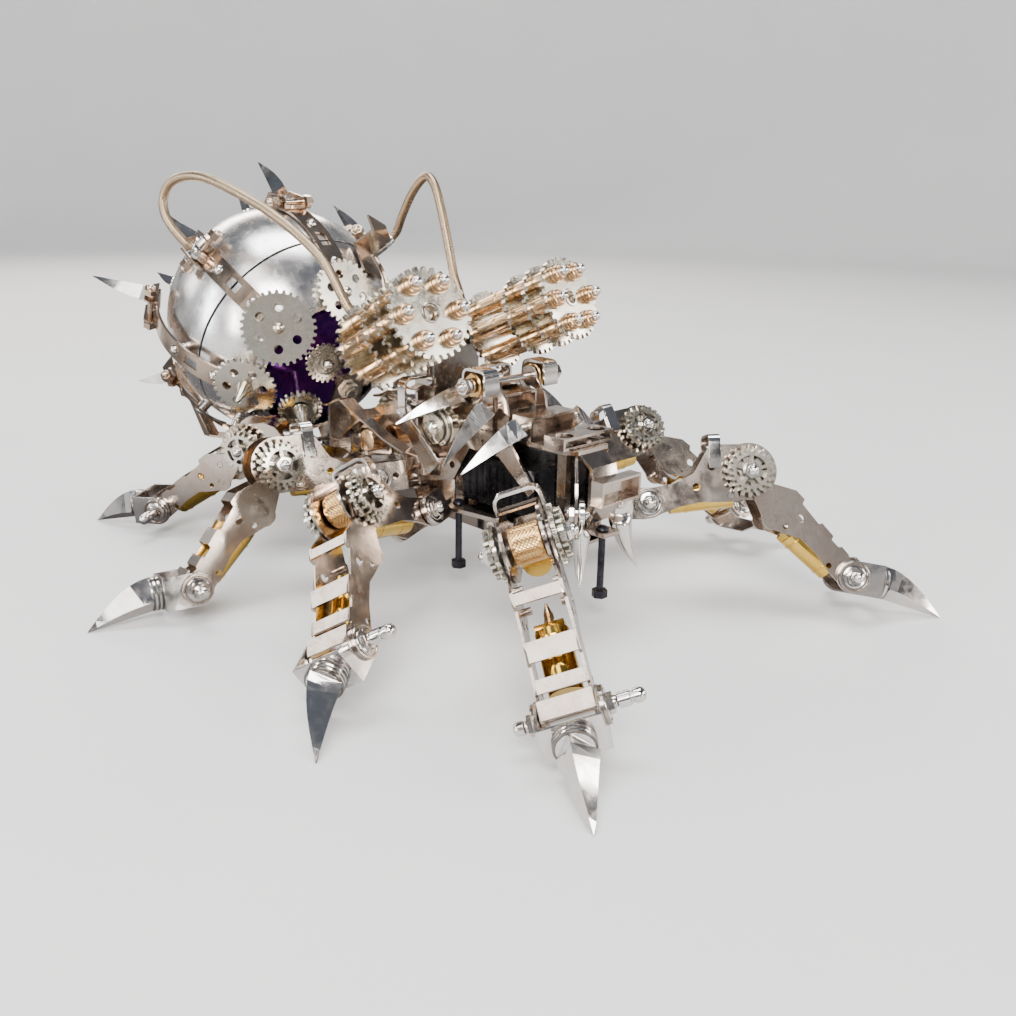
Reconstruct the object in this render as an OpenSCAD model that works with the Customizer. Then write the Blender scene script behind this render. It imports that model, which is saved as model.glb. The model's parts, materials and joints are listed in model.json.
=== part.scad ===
// Eight-legged clockwork spider: sheet-metal legs, twin rotary guns and a steel ball abdomen.
// Millimetres. +Z is up, the ground is z = 0 and the spider faces -Y. Its right side is -X.

/* [Legs] */
// Hip pivot to knee pivot
femur_len = 30; // [28:1:34]
// Knee pivot to ankle pivot
tibia_len = 42; // [40:1:46]
// Ankle pivot to claw tip
foot_len = 30; // [28:1:34]
// Thickness of the leg plates
plate_t = 0.7; // [0.6:0.1:0.7]
// Radius of the brass tubes under the femurs
femur_tube_r = 3.0; // [2.6:0.1:3.1]
// Radius of the brass tubes behind the tibias
tibia_tube_r = 2.7; // [2.4:0.1:2.8]
// Tip radius of the knee gears
knee_gear_r = 7.4; // [7:0.1:7.8]

/* [Fasteners] */
// Radius of the M2 bolts used as pivots
bolt_r = 1.0; // [0.9:0.05:1.1]
// Radius of the large pivot washers
washer_r = 4.4; // [4:0.1:4.6]

/* [Abdomen] */
// Outer radius of the steel ball
ball_r = 40; // [39:0.5:40]
// Height of the ball's centre
ball_z = 67; // [67:0.5:68]
// Tilt of the ball's axis above the horizontal
ball_tilt = 26; // [25:1:27]
// Thickness of the ball's shells
shell_t = 1; // [0.8:0.1:1.2]

/* [Guns] */
// Tip radius of the toothed gun discs
gun_r = 13.6; // [13.2:0.1:13.8]
// Circle on which the barrels stand
barrel_circle_r = 8.6; // [8.4:0.1:9]
// Radius of a copper barrel
barrel_r = 2.4; // [2.3:0.1:2.6]

/* [Hidden] */
CIRCLE = 40;
STEEL = "silver";
BRASS = "darkgoldenrod";
COPPER = "peru";

// Legs, front to rear: hip side, hip lengthwise, heading, femur rise, tibia drop, foot drop, roll
LEGS = [
    [22.0, -72, -44, 18.5, 45.0, 23, 20],
    [31.5, -32, -24.5, 25.0, 43.5, 31.5, 31],
    [23.5, -1, 15.5, 14.5, 48.5, 15, 14],
    [18.0, 24, 58, 9.0, 36.0, 17, -2.5]
];
SIDES = ["right", "left"];
LEG_NAMES = ["front", "second", "third", "rear"];
LEG_NODES = ["femur", "femur_tube", "tibia", "tibia_tube", "foot"];
BODY_NODES = ["chassis_deck", "coxa_brackets", "chassis_fasteners", "upper_deck", "armour_ribs",
    "gearbox", "spike_claws", "right_fang", "left_fang", "gun_yoke", "right_gun_discs",
    "left_gun_discs", "right_gun_barrels", "left_gun_barrels", "ball_front_shell",
    "ball_rear_shell", "ball_core", "cage_straps", "ball_gears", "hoses"];

// Clearances between turning pieces
FIT = 0.06;
GAP = 0.3;

// Half widths of the nested leg frames, each outside the one before
femur_out = 5.2;
tibia_out = femur_out + GAP + plate_t;
foot_out = tibia_out + GAP + plate_t;
stack_in = tibia_out + 0.6;
claw_bend = 14;

// Height of each hip that lets its claw tip touch the ground
function hip_z(k) = cos(LEGS[k][6]) *
    (tibia_len * sin(LEGS[k][4]) + foot_len * sin(LEGS[k][5]) - femur_len * sin(LEGS[k][3]));

deck_top = 28;
deck_t = 1.2;
ball_y = 80;
seam_off = 10;
mouth_r = 27;
strap_w = 7.5;
gun_len = 36.5;
gun_front = [27.6, -34.6, 85];
gun_turn = 7.8;
gun_rise = 24;

// ---------- general shapes ----------

module pin_y(r, y0, y1) {
    translate([0, y1, 0]) rotate([90, 0, 0]) cylinder(r = r, h = y1 - y0, $fn = CIRCLE);
}

// A plate in the XZ plane between two values of y; the children are its outline
module plate_y(y0, y1) {
    translate([0, y1, 0]) rotate([90, 0, 0]) linear_extrude(y1 - y0) children();
}

// The same plate on both sides of the middle plane
module plate_pair(outer, t) {
    plate_y(outer - t, outer) children();
    plate_y(-outer, -outer + t) children();
}

module disc(x, z, r) {
    translate([x, z]) circle(r = r, $fn = CIRCLE);
}

// Spur gear outline with square-shouldered teeth
module gear_2d(tip_r, teeth, depth) {
    step = 360 / teeth;
    polygon([for (i = [0 : teeth - 1]) each [
        (tip_r - depth) * [cos((i - 0.30) * step), sin((i - 0.30) * step)],
        tip_r * [cos((i - 0.17) * step), sin((i - 0.17) * step)],
        tip_r * [cos((i + 0.17) * step), sin((i + 0.17) * step)],
        (tip_r - depth) * [cos((i + 0.30) * step), sin((i + 0.30) * step)]]]);
}

module ring_of_holes(circle_r, r, count, turn = 0) {
    for (i = [0 : count - 1]) {
        rotate(turn + i * 360 / count) disc(circle_r, 0, r);
    }
}

// Hexagon nut with a domed cap, standing on z = 0 around a bolt
module dome_nut(af = 4, h = 1.6, dome = 1.5) {
    cylinder(d = af / cos(30), h = h, $fn = 6);
    translate([0, 0, h]) intersection() {
        sphere(r = dome, $fn = CIRCLE);
        translate([-dome, -dome, 0]) cube([2 * dome, 2 * dome, dome]);
    }
}

// Bolt along y with a domed nut at each end; nut_in is where the nuts start
module pivot_bolt(nut_in, nut_h = 1.5) {
    pin_y(bolt_r, -nut_in - 0.2, nut_in + 0.2);
    for (turn = [90, -90]) rotate([turn, 0, 0]) translate([0, 0, nut_in]) dome_nut(4.2, nut_h);
}

// The same washer on both sides of the middle plane
module washer_pair(inner, t, r) {
    plate_pair(inner + t, t) difference() {
        disc(0, 0, r);
        disc(0, 0, bolt_r + FIT);
    }
}

// Claw with a top ridge: it starts square on x = 0, runs along +x and droops to its tip
function claw_ring(t, len, half, drop) =
    let (top = half - (half + drop) * pow(t, 1.7),
        low = -half - (drop - half) * t,
        wide = half * pow(1 - t, 0.85) + 0.12,
        waist = low + 0.32 * (top - low),
        peak = max(top, low + 0.24))
    [[len * t, 0, peak], [len * t, wide, waist], [len * t, 0, low], [len * t, -wide, waist]];

module claw(len, half, drop) {
    rings = 7;
    points = [for (i = [0 : rings]) each claw_ring(i / rings, len, half, drop)];
    sides = [for (i = [0 : rings - 1]) for (j = [0 : 3]) each [
        [4 * i + j, 4 * i + (j + 1) % 4, 4 * i + 4 + j],
        [4 * i + (j + 1) % 4, 4 * i + 4 + (j + 1) % 4, 4 * i + 4 + j]]];
    last = 4 * rings;
    polyhedron(points, concat(sides, [[3, 2, 1, 0], [last, last + 1, last + 2, last + 3]]));
}

// ---------- frames of reference ----------

module on_leg(k, side) {
    leg = LEGS[k];
    mirror([side == "left" ? 1 : 0, 0, 0])
        translate([-leg[0], leg[1], hip_z(k)])
            rotate([0, 0, 180 - leg[2]])
                rotate([leg[6], 0, 0]) children();
}

module on_femur(k, side) {
    on_leg(k, side) rotate([0, -LEGS[k][3], 0]) children();
}

module on_tibia(k, side) {
    rise = LEGS[k][3];
    on_leg(k, side) translate([femur_len * cos(rise), 0, femur_len * sin(rise)])
        rotate([0, LEGS[k][4], 0]) children();
}

module on_foot(k, side) {
    on_tibia(k, side) translate([tibia_len, 0, 0])
        rotate([0, LEGS[k][5] - LEGS[k][4] - claw_bend, 0]) children();
}

// The ball's own frame: +z runs along its axis, up and to the rear
module on_ball_axis() {
    translate([0, ball_y, ball_z]) rotate([ball_tilt - 90, 0, 0]) children();
}

// A meridian of the ball: +x outwards; turn 0 faces -X and turn 90 faces up
module on_meridian(turn) {
    on_ball_axis() rotate([0, 0, 180 + turn]) children();
}

// A point on a meridian: +z outwards, +x towards the front pole, polar 0 at the front pole
module on_ball(polar, turn) {
    on_meridian(turn) rotate([0, 180 - polar, 0]) children();
}

module on_gun(side) {
    mirror([side == "right" ? 1 : 0, 0, 0])
        translate(gun_front)
            rotate([0, 0, gun_turn])
                rotate([90 - gun_rise, 0, 0]) children();
}

// ---------- leg pieces ----------

femur_pins = [[8, -2.0], [23, -5.0]];
pin_r = 0.75;
roller_half = 3.9;
roller_r = 4.7;
knee_disc_r = 8.2;
spur_t = 1.0;
ring_t = 1.3;
ring_in = stack_in + spur_t + GAP;
knee_nut_in = ring_in + ring_t + 0.1;

module femur_outline() {
    difference() {
        union() {
            disc(0, 0, 4.2);
            disc(femur_len, 0, knee_disc_r);
            polygon([[0, 4.2], [9, 3.2], [15, 4.2], [20.5, 9.4], [24.5, 9.9],
                [femur_len, knee_disc_r], [femur_len, -knee_disc_r], [22, -6.6], [14, -4.2],
                [8, -3.7], [0, -4.2]]);
        }
        disc(0, 0, bolt_r + FIT);
        disc(femur_len, 0, bolt_r + FIT);
        disc(20.5, 4.6, 1.3);
        disc(14.5, 0.3, 1.1);
        for (p = femur_pins) disc(p[0], p[1], pin_r + FIT);
    }
}

// Two-layer knee gear: a drilled spur gear with a spoked ring gear over it
module knee_gears() {
    plate_pair(stack_in + spur_t, spur_t) difference() {
        gear_2d(knee_gear_r, 20, 1.1);
        disc(0, 0, bolt_r + FIT);
        ring_of_holes(4.1, 1.1, 6);
    }
    plate_pair(ring_in + ring_t, ring_t) {
        difference() {
            rotate(9) gear_2d(knee_gear_r - 1.2, 20, 1.0);
            disc(0, 0, knee_gear_r - 3.1);
        }
        difference() {
            union() {
                disc(0, 0, 2.3);
                for (i = [0 : 4]) rotate(72 * i) translate([0, -0.5]) square([knee_gear_r - 2.8, 1]);
            }
            disc(0, 0, bolt_r + FIT);
        }
    }
}

module femur(k, side) {
    inner = femur_out - plate_t;
    color(STEEL) on_femur(k, side) {
        plate_pair(femur_out, plate_t) femur_outline();
        plate_y(-inner - 0.1, inner + 0.1) polygon([[20.8, 8.8], [24.3, 9.2], [24.4, 9.9], [20.6, 9.4]]);
        plate_y(-inner - 0.1, inner + 0.1) polygon([[8, 2.4], [13, 2.9], [13, 3.6], [8, 3.1]]);
        for (p = femur_pins) translate([p[0], 0, p[1]]) pin_y(pin_r, -femur_out - 0.2, femur_out + 0.2);
        translate([femur_len, 0, 0]) {
            pivot_bolt(knee_nut_in, 1.4);
            knee_gears();
        }
    }
}

module femur_tube(k, side) {
    slope = atan2(femur_pins[0][1] - femur_pins[1][1], femur_pins[1][0] - femur_pins[0][0]);
    color(BRASS) on_femur(k, side) {
        difference() {
            translate([femur_pins[0][0], 0, femur_pins[0][1]]) rotate([0, slope, 0])
                translate([-1.8, 0, 0]) rotate([0, 90, 0])
                    cylinder(r = femur_tube_r, h = 18.2, $fn = CIRCLE);
            for (p = femur_pins) translate([p[0], 0, p[1]]) pin_y(pin_r + FIT, -9, 9);
        }
        translate([femur_len, 0, 0]) difference() {
            pin_y(roller_r, -roller_half, roller_half);
            pin_y(bolt_r + FIT, -9, 9);
        }
    }
}

tibia_screws = [[11, 0.3], [14.6, -4.5]];
tibia_pins = [[18.5, -3.6], [35, -2.6]];
// Bands across the tibia: start, height and length
bands = [[13.8, 5.1, 2.8], [25.2, 3.8, 4.8], [33.8, 3.1, 3.2]];

module tibia_outline() {
    difference() {
        union() {
            disc(0, 0, 4.2);
            disc(tibia_len, 0, 4.2);
            disc(tibia_screws[1][0], tibia_screws[1][1], 3.2);
            polygon([[0, 4.2], [6.4, 1.9], [9.5, 3.7], [13.4, 5.9], [16.8, 5.8], [17.4, 4.4],
                [24.8, 3.7], [25.2, 4.6], [30, 4.3], [30.4, 3.2], [33.6, 3.1], [33.8, 3.9],
                [37, 3.7], [37.4, 3.0], [tibia_len, 4.2], [tibia_len, -4.2], [37, -3.9], [30, -2.9],
                [24, -3.0], [20.3, -5.0], [16, -7.0], [12, -6.4], [6.4, -4.2], [0, -4.2]]);
        }
        disc(0, 0, bolt_r + FIT);
        disc(tibia_len, 0, bolt_r + FIT);
        for (p = tibia_screws) disc(p[0], p[1], bolt_r + FIT);
        disc(19.8, 0.9, 1.2);
        for (p = tibia_pins) disc(p[0], p[1], pin_r + FIT);
    }
}

// Low round screw head on z = 0
module screw_head(r = 1.9, h = 1.2) {
    intersection() {
        translate([0, 0, h - r * 1.05]) sphere(r = r * 1.05, $fn = CIRCLE);
        cylinder(r = r, h = h + 1, $fn = CIRCLE);
    }
}

module tibia(k, side) {
    inner = tibia_out - plate_t;
    screw_in = tibia_out + 0.05;
    color(STEEL) on_tibia(k, side) {
        plate_pair(tibia_out, plate_t) tibia_outline();
        for (b = bands) plate_y(-inner - 0.1, inner + 0.1)
            translate([b[0], b[1]]) square([b[2], plate_t]);
        for (p = tibia_screws) translate([p[0], 0, p[1]]) {
            for (turn = [90, -90]) rotate([turn, 0, 0]) {
                translate([0, 0, screw_in]) screw_head();
                translate([0, 0, inner - 1.4])
                    cylinder(r = bolt_r, h = screw_in - inner + 1.6, $fn = CIRCLE);
            }
        }
        for (p = tibia_pins) translate([p[0], 0, p[1]]) pin_y(pin_r, -tibia_out - 0.2, tibia_out + 0.2);
    }
}

// Brass tube with a slim neck and a pointed steel-like end towards the knee
module tibia_tube(k, side) {
    slope = atan2(tibia_pins[0][1] - tibia_pins[1][1], tibia_pins[1][0] - tibia_pins[0][0]);
    color(BRASS) on_tibia(k, side) difference() {
        translate([tibia_pins[0][0], 0, tibia_pins[0][1]]) rotate([0, slope, 0])
            rotate([0, 90, 0]) {
                translate([0, 0, 3.4]) cylinder(r = tibia_tube_r, h = 15.2, $fn = CIRCLE);
                translate([0, 0, 1.6]) cylinder(r = tibia_tube_r, h = 2, $fn = 6);
                translate([0, 0, -1.3]) cylinder(r = 1.2, h = 4, $fn = CIRCLE);
                translate([0, 0, -4.3]) cylinder(r1 = 0.3, r2 = 1.2, h = 3, $fn = CIRCLE);
            }
        for (p = tibia_pins) translate([p[0], 0, p[1]]) pin_y(pin_r + FIT, -9, 9);
    }
}

ear_r = 4.7;
web_x = 8.0;
hub_x = web_x + 0.8;
hub_len = 2.8;

module foot(k, side) {
    claw_x = hub_x + hub_len;
    reach = foot_len * cos(claw_bend) - claw_x;
    color(STEEL) on_foot(k, side) {
        plate_pair(foot_out, plate_t) difference() {
            union() {
                disc(0, 0, ear_r);
                translate([0, -ear_r]) square([hub_x, 2 * ear_r]);
            }
            disc(0, 0, bolt_r + FIT);
        }
        plate_y(-foot_out + plate_t - 0.1, foot_out - plate_t + 0.1)
            translate([web_x, -ear_r]) square([hub_x - web_x, 2 * ear_r]);
        translate([hub_x - 0.05, 0, 0]) rotate([0, 90, 0]) {
            cylinder(r = 4.2, h = hub_len + 0.1, $fn = CIRCLE);
            cylinder(r = 4.7, h = 1, $fn = CIRCLE);
            translate([0, 0, 1.6]) cylinder(r = 4.7, h = 0.9, $fn = CIRCLE);
        }
        translate([claw_x, 0, 0]) claw(reach, 4.8, foot_len * sin(claw_bend));
        washer_pair(foot_out + 0.05, 0.6, washer_r);
        pivot_bolt(foot_out + 0.7, 1.7);
    }
}

// ---------- chassis ----------

// The legs' sheet-metal hip brackets: a tongue on the deck, a web and two ears
module coxa_brackets() {
    web_in = 9.0;
    tongue = 9;
    color("gainsboro") for (k = [0 : 3]) for (side = SIDES) {
        on_leg(k, side) {
            plate_pair(tibia_out, plate_t) difference() {
                union() {
                    disc(0, 0, 4.4);
                    translate([-web_in - plate_t, -4.4]) square([web_in + plate_t, 8.8]);
                }
                disc(0, 0, bolt_r + FIT);
                disc(-6, 0, 1.1);
            }
            plate_y(-tibia_out + plate_t - 0.1, tibia_out - plate_t + 0.1)
                translate([-web_in - plate_t, -4.4]) square([plate_t, 8.8]);
        }
        leg = LEGS[k];
        difference() {
            mirror([side == "left" ? 1 : 0, 0, 0]) translate([-leg[0], leg[1], deck_top])
                rotate([0, 0, 180 - leg[2]])
                    translate([-web_in - tongue, -3.2, 0.02]) cube([tongue + 0.5, 6.4, 1]);
            mirror([side == "left" ? 1 : 0, 0, 0]) translate([-leg[0], leg[1], deck_top])
                rotate([0, 0, 180 - leg[2]]) translate([-web_in - tongue + 3, 0, -1])
                    cylinder(r = bolt_r + FIT, h = 4, $fn = CIRCLE);
        }
    }
}

// Half of the deck's outline, front to rear
deck_half = [[3.2, -78], [3.2, -68.2], [10, -66.5], [14, -61], [17, -42], [18, -35], [21.5, -27],
    [22, -22], [15, -12], [11.8, 0], [12.4, 8], [12.4, 14.5], [7, 19], [7, 60]];
belly_z = 20;
belly_holes = [[6, -30], [6, 10]];
hanging_bolts = [[14, -31]];
chin_bolt_y = -74.5;
posts = [[6.5, -65], [6.5, -24]];
head_z = 49;
tail_screws = [[4, 53], [4, 58]];

// Places of the tongue screws on the deck
function tongue_hole(k) = let (leg = LEGS[k], back = 15)
    [leg[0] - back * cos(leg[2]), leg[1] - back * sin(leg[2])];
deck_holes = concat([for (k = [0 : 3]) tongue_hole(k)], hanging_bolts, posts, tail_screws);

module both_sides() {
    children();
    mirror([1, 0, 0]) children();
}

// Outline that is mirrored about the middle plane
module mirrored_outline(half) {
    polygon(concat(half, [for (i = [len(half) - 1 : -1 : 0]) [-half[i][0], half[i][1]]]));
}

// Deck with a folded belly tray under it and the post that carries the ball
module chassis_deck() {
    tray = 9.5;
    color("gainsboro") difference() {
        union() {
            translate([0, 0, deck_top - deck_t]) linear_extrude(deck_t) mirrored_outline(deck_half);
            difference() {
                translate([-tray, -66, belly_z]) cube([2 * tray, 82, deck_top - deck_t - belly_z + 0.1]);
                translate([-tray + 1, -67, belly_z + 1])
                    cube([2 * tray - 2, 84, deck_top - deck_t - belly_z - 1]);
            }
            // bent post up to the ball's front pole
            translate([-6, 0, 0]) rotate([90, 0, 90]) linear_extrude(12) ball_post_outline();
        }
        both_sides() for (h = deck_holes) translate([h[0], h[1], deck_top - deck_t - 1])
            cylinder(r = bolt_r + FIT, h = 3, $fn = CIRCLE);
        translate([0, chin_bolt_y, deck_top - 3]) cylinder(r = bolt_r + FIT, h = 5, $fn = CIRCLE);
        both_sides() for (h = belly_holes) translate([h[0], h[1], belly_z - 1])
            cylinder(r = 1.1, h = 3, $fn = CIRCLE);
        on_ball_axis() translate([0, 0, -pole_r - 4]) cylinder(r = spindle_r + FIT, h = 8, $fn = CIRCLE);
    }
}

pole_r = ball_r + 2;
spindle_r = 2;

// Side view of the post: x is lengthwise, y is up
module ball_post_outline() {
    c = cos(ball_tilt);
    s = sin(ball_tilt);
    pole = [ball_y - pole_r * c, ball_z - pole_r * s];
    up = [-s, c];
    out = [c, s];
    t = 1.2;
    foot_y = pole[0] + 7 * s;
    polygon([pole + 7 * up, pole - 7 * up, [foot_y, deck_top - 0.5], [foot_y - t, deck_top - 0.5],
        pole - 7 * up - t * out, pole + 7 * up - t * out]);
}

module cap_screw(top_z, length, head = 1.9) {
    translate([0, 0, top_z]) screw_head(head, 1.3);
    translate([0, 0, top_z - length]) cylinder(r = bolt_r, h = length + 0.2, $fn = CIRCLE);
}

module hanging_bolt() {
    cap_screw(deck_top + 0.05, 18);
    translate([0, 0, 8]) cylinder(d = 4.6, h = 2.2, $fn = 6);
}

// Hip bolts with their washers, tongue screws, posts and long hanging bolts
module chassis_fasteners() {
    color(STEEL) {
        for (k = [0 : 3]) for (side = SIDES) {
            on_leg(k, side) {
                washer_pair(tibia_out + 0.05, 0.7, washer_r);
                pivot_bolt(tibia_out + 0.8, 1.6);
            }
        }
        both_sides() {
            for (k = [0 : 3]) {
                h = tongue_hole(k);
                translate([h[0], h[1], 0]) cap_screw(deck_top + 1.07, 2.25);
            }
            for (h = hanging_bolts) translate([h[0], h[1], 0]) hanging_bolt();
            on_fang() {
                pin_y(bolt_r, -1.3, 2.2);
                rotate([90, 0, 0]) translate([0, 0, 1.1]) screw_head(1.9, 1.2);
                rotate([-90, 0, 0]) translate([0, 0, 2.0]) dome_nut(4, 1.4, 1.3);
            }
            for (h = posts) translate([h[0], h[1], 0]) {
                translate([0, 0, deck_top + 0.05])
                    cylinder(d = 4.6, h = head_z - deck_top - 0.1, $fn = 6);
                translate([0, 0, deck_top - 3])
                    cylinder(r = bolt_r, h = head_z - deck_top + 5.4, $fn = CIRCLE);
                translate([0, 0, head_z + 1.3]) dome_nut(4.2, 1.2, 1.4);
            }
            for (h = tail_screws) translate([h[0], h[1], 0]) cap_screw(deck_top + 0.05, 3.2);
        }
        translate([0, chin_bolt_y, 0]) hanging_bolt();
    }
}

// ---------- head ----------

// Roller axle over the head, the lugs that hold it and the span of each copper roller
axle_y = -37.7;
axle_z = 64.2;
lug_x = 7.4;
roller_in = 8.6;
roller_out = 15.2;

module upper_deck() {
    color("lightgray") {
        difference() {
            union() {
                translate([0, 0, head_z]) linear_extrude(1.2) mirrored_outline([[6, -70], [8.8, -66],
                    [8.8, -46], [12.7, -40], [12.7, -30], [9.5, -20], [4, -17]]);
                both_sides() {
                    // lugs that hold the roller axle
                    translate([lug_x, 0, 0]) rotate([90, 0, 90]) linear_extrude(0.8) union() {
                        polygon([[-46.6, head_z + 0.5], [-40.9, head_z + 0.5], [-40.9, 60.6],
                            [axle_y + 2, axle_z - 2.2], [axle_y, axle_z + 3], [-44, 60]]);
                        disc(axle_y, axle_z, 3);
                    }
                    // folded side cheeks with windows
                    translate([11.9, 0, 0]) rotate([90, 0, 90]) linear_extrude(0.8) difference() {
                        polygon([[-50, head_z + 1.2], [-30, head_z + 1.2], [-24, 40], [-14, 33],
                            [-14, 31], [-27, 34], [-34, 45], [-46, 45], [-58, 36], [-60, 38]]);
                        disc(-40, 47.6, 1.2);
                        disc(-26.5, 38.5, 1.1);
                    }
                }
                // sloping chin strap at the front
                translate([-5, 0, 0]) rotate([90, 0, 90]) linear_extrude(10)
                    polygon([[-69, head_z + 0.6], [-74, 46], [-76.5, 37], [-74, 30.5], [-73.2, 31],
                        [-75.6, 37], [-73.3, 45.4], [-69, head_z - 0.4]]);
                // ears that carry the fangs
                both_sides() on_fang() plate_y(fang_t / 2 + GAP, fang_t / 2 + GAP + 0.8) {
                    disc(0, 0, 3.2);
                    polygon([[-3.2, 0], [3.2, 0], [-1, 8], [-6.5, 15.4], [-9.5, 15.4], [-5, 7]]);
                }
            }
            both_sides() for (h = posts) translate([h[0], h[1], head_z - 1])
                cylinder(r = bolt_r + FIT, h = 3, $fn = CIRCLE);
            translate([-20, axle_y, axle_z]) rotate([0, 90, 0])
                cylinder(r = bolt_r + FIT, h = 40, $fn = CIRCLE);
            both_sides() on_fang() pin_y(bolt_r + FIT, -6, 6);
        }
        // roller axle with rollers, small gears and nuts
        translate([0, axle_y, axle_z]) rotate([0, 0, 90]) {
            pivot_bolt(roller_out + 2.3, 1.5);
            for (turn = [0, 180]) rotate([0, 0, turn]) {
                plate_y(roller_out + 0.3, roller_out + 2) difference() {
                    gear_2d(4.2, 14, 0.8);
                    disc(0, 0, bolt_r + FIT);
                }
                difference() {
                    pin_y(3.3, roller_in, roller_out);
                    pin_y(bolt_r + FIT, 0, roller_out + 3);
                }
            }
        }
    }
}

// Folded sheet boxes across the head: lengthwise place, height, half width and mouth height
ribs = [[-28.6, 11.4, 9, 3], [-36, 10, 9, 4], [-51.3, 6.6, 9, 4.6], [-64.5, 3.4, 10, 1.8]];
rib_floor = head_z + 1.3;
rib_depth = 7.2;

// Box with a mouth that opens to the front and a hollow that opens below
module folded_box(half, depth, height, mouth, t) {
    below = height - mouth - 2 * t;
    difference() {
        translate([-half, -depth / 2, 0]) cube([2 * half, depth, height]);
        translate([-half + t, -depth / 2 - 1, height - t - mouth])
            cube([2 * half - 2 * t, depth - t + 1, mouth]);
        if (below > 1) translate([-half + t, -depth / 2 + t, -1])
            cube([2 * half - 2 * t, depth - 2 * t, below + 1]);
    }
}

module armour_ribs() {
    color("lightgray") {
        for (r = ribs) translate([0, r[0], rib_floor]) difference() {
            folded_box(r[2], rib_depth, r[1], r[3], 0.8);
            both_sides() for (p = posts) translate([p[0], p[1] - r[0], -1])
                cylinder(r = 2.6, h = 9, $fn = CIRCLE);
        }
        // brow box that hangs over the fangs
        translate([0, -80.6, 37]) difference() {
            translate([-8, 0, 0]) cube([16, 4, 7]);
            translate([-7.2, -1, 0.8]) cube([14.4, 4.2, 5.4]);
        }
    }
}

gearbox_size = [23, 29, 13.8];

module gearbox() {
    color("#202024") {
        translate([-gearbox_size[0] / 2, -59, deck_top + 1.3]) {
            difference() {
                cube(gearbox_size);
                // cooling grooves along both sides
                for (i = [0 : 8]) for (x = [-0.4, gearbox_size[0] - 0.4])
                    translate([x, 2.5 + 2.8 * i, 1.5]) cube([0.8, 1.4, gearbox_size[2] - 3]);
            }
            for (x = [4, gearbox_size[0] - 6]) for (y = [2, 24])
                translate([x, y, -1.25]) cube([2, 3, 1.35]);
        }
    }
}

// Crest claws: start, turn to the rear, droop, length and half size
crest_claws = [[[11, -28.5, 59.4], 27, 14.5, 20.5, 3.2], [[11.2, -38.2, 57], -7, 31, 22, 3.5],
    [[11.2, -52.5, 54], 13, 23.5, 21, 3.5]];
// Claws on the ball: turn, polar place, standing radius, lean to the rear, length, half size
ball_claws = [[90, 112, 45.2, 50, 17, 3.1], [38, 107, 45.2, 58, 19, 2.7], [-6, 128, 49.4, 8, 19, 3.2],
    [-48, 114, 49.4, 4, 12, 2.6]];
small_claws = [90, 38, -6];
boss_h = 2.2;

// A meridian's children, repeated on the other side unless it lies in the middle plane
module on_sides(turn) {
    children();
    if (turn != 90) mirror([1, 0, 0]) children();
}

module spike_claws() {
    color(STEEL) {
        both_sides() for (i = [0 : 2]) {
            c = crest_claws[i];
            base = ribs[i][2] + 0.03;
            translate(c[0]) rotate([0, 0, c[1]]) rotate([0, c[2], 0]) claw(c[3], c[4], 2.5);
            translate([base, c[0][1], c[0][2]]) rotate([0, 90, 0])
                cylinder(r = 1.2, h = c[0][0] - base + 1.5, $fn = CIRCLE);
        }
        for (c = ball_claws) on_sides(c[0]) on_ball_claw(c[0], c[1], c[2], c[3]) claw(c[4], c[5], 3);
        for (t = small_claws) on_sides(t) {
            on_ball(143, t) translate([0, 0, ball_r + 0.03]) cylinder(r = 2.9, h = boss_h, $fn = CIRCLE);
            on_ball_claw(t, 143, ball_r + boss_h - 0.5, 12) claw(9, 2.3, 1.5);
        }
    }
}

// Claw frame on the ball: +x points outwards, leaning to the rear
module on_ball_claw(turn, polar, radius, lean) {
    on_ball(polar, turn) translate([0, 0, radius]) rotate([0, -90 - lean, 0]) rotate([180, 0, 0])
        children();
}

fang_x = 8;
fang_y = -73.5;
fang_z = 34;
fang_t = 1.6;

// A fang's own frame: its pivot runs along y
module on_fang() {
    translate([fang_x, fang_y, fang_z]) rotate([0, 0, -45]) children();
}

// Curved blade that hangs from its pivot; its outline curls forward
module fang_outline() {
    difference() {
        union() {
            disc(0, 0, 3.6);
            polygon([[-3.6, 0], [-3.4, -4], for (i = [0 : 6]) let (t = i / 6)
                [-3.4 + 9.4 * t * t, -4 - 15.5 * t],
                for (i = [1 : 6]) let (t = 1 - i / 6) [3.9 + 2.1 * t - 0.9 * sin(180 * t), -2 - 17.5 * t],
                [3.6, 0]]);
        }
        disc(0, 0, bolt_r + FIT);
    }
}

module fang() {
    on_fang() plate_y(-fang_t / 2, fang_t / 2) fang_outline();
}

module right_fang() {
    color(STEEL) mirror([1, 0, 0]) fang();
}

module left_fang() {
    color(STEEL) fang();
}

// ---------- guns ----------

// Distances of the toothed discs behind the front face
gun_discs = [0, 7, 15, 31];
gun_disc_t = 1.4;
gun_teeth = 30;
gun_tooth_depth = 1.25;
gun_shaft_r = 1.6;

module gun_discs_at(side) {
    color("silver") on_gun(side) {
        for (d = gun_discs) translate([0, 0, -d - gun_disc_t]) linear_extrude(gun_disc_t) difference() {
            gear_2d(gun_r, gun_teeth, gun_tooth_depth);
            ring_of_holes(barrel_circle_r, barrel_r + FIT, 6);
            disc(0, 0, gun_shaft_r + (d == 0 ? 0.4 : -0.4));
        }
        translate([0, 0, -gun_len - 5]) cylinder(r = gun_shaft_r, h = gun_len + 3.2, $fn = CIRCLE);
        // domed nut in each barrel's mouth
        for (i = [0 : 5]) rotate(60 * i) translate([barrel_circle_r, 0, 4.6]) {
            cylinder(r = 1.3, h = 0.8, $fn = CIRCLE);
            translate([0, 0, 0.8]) screw_head(1.5, 1.4);
        }
    }
}

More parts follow.
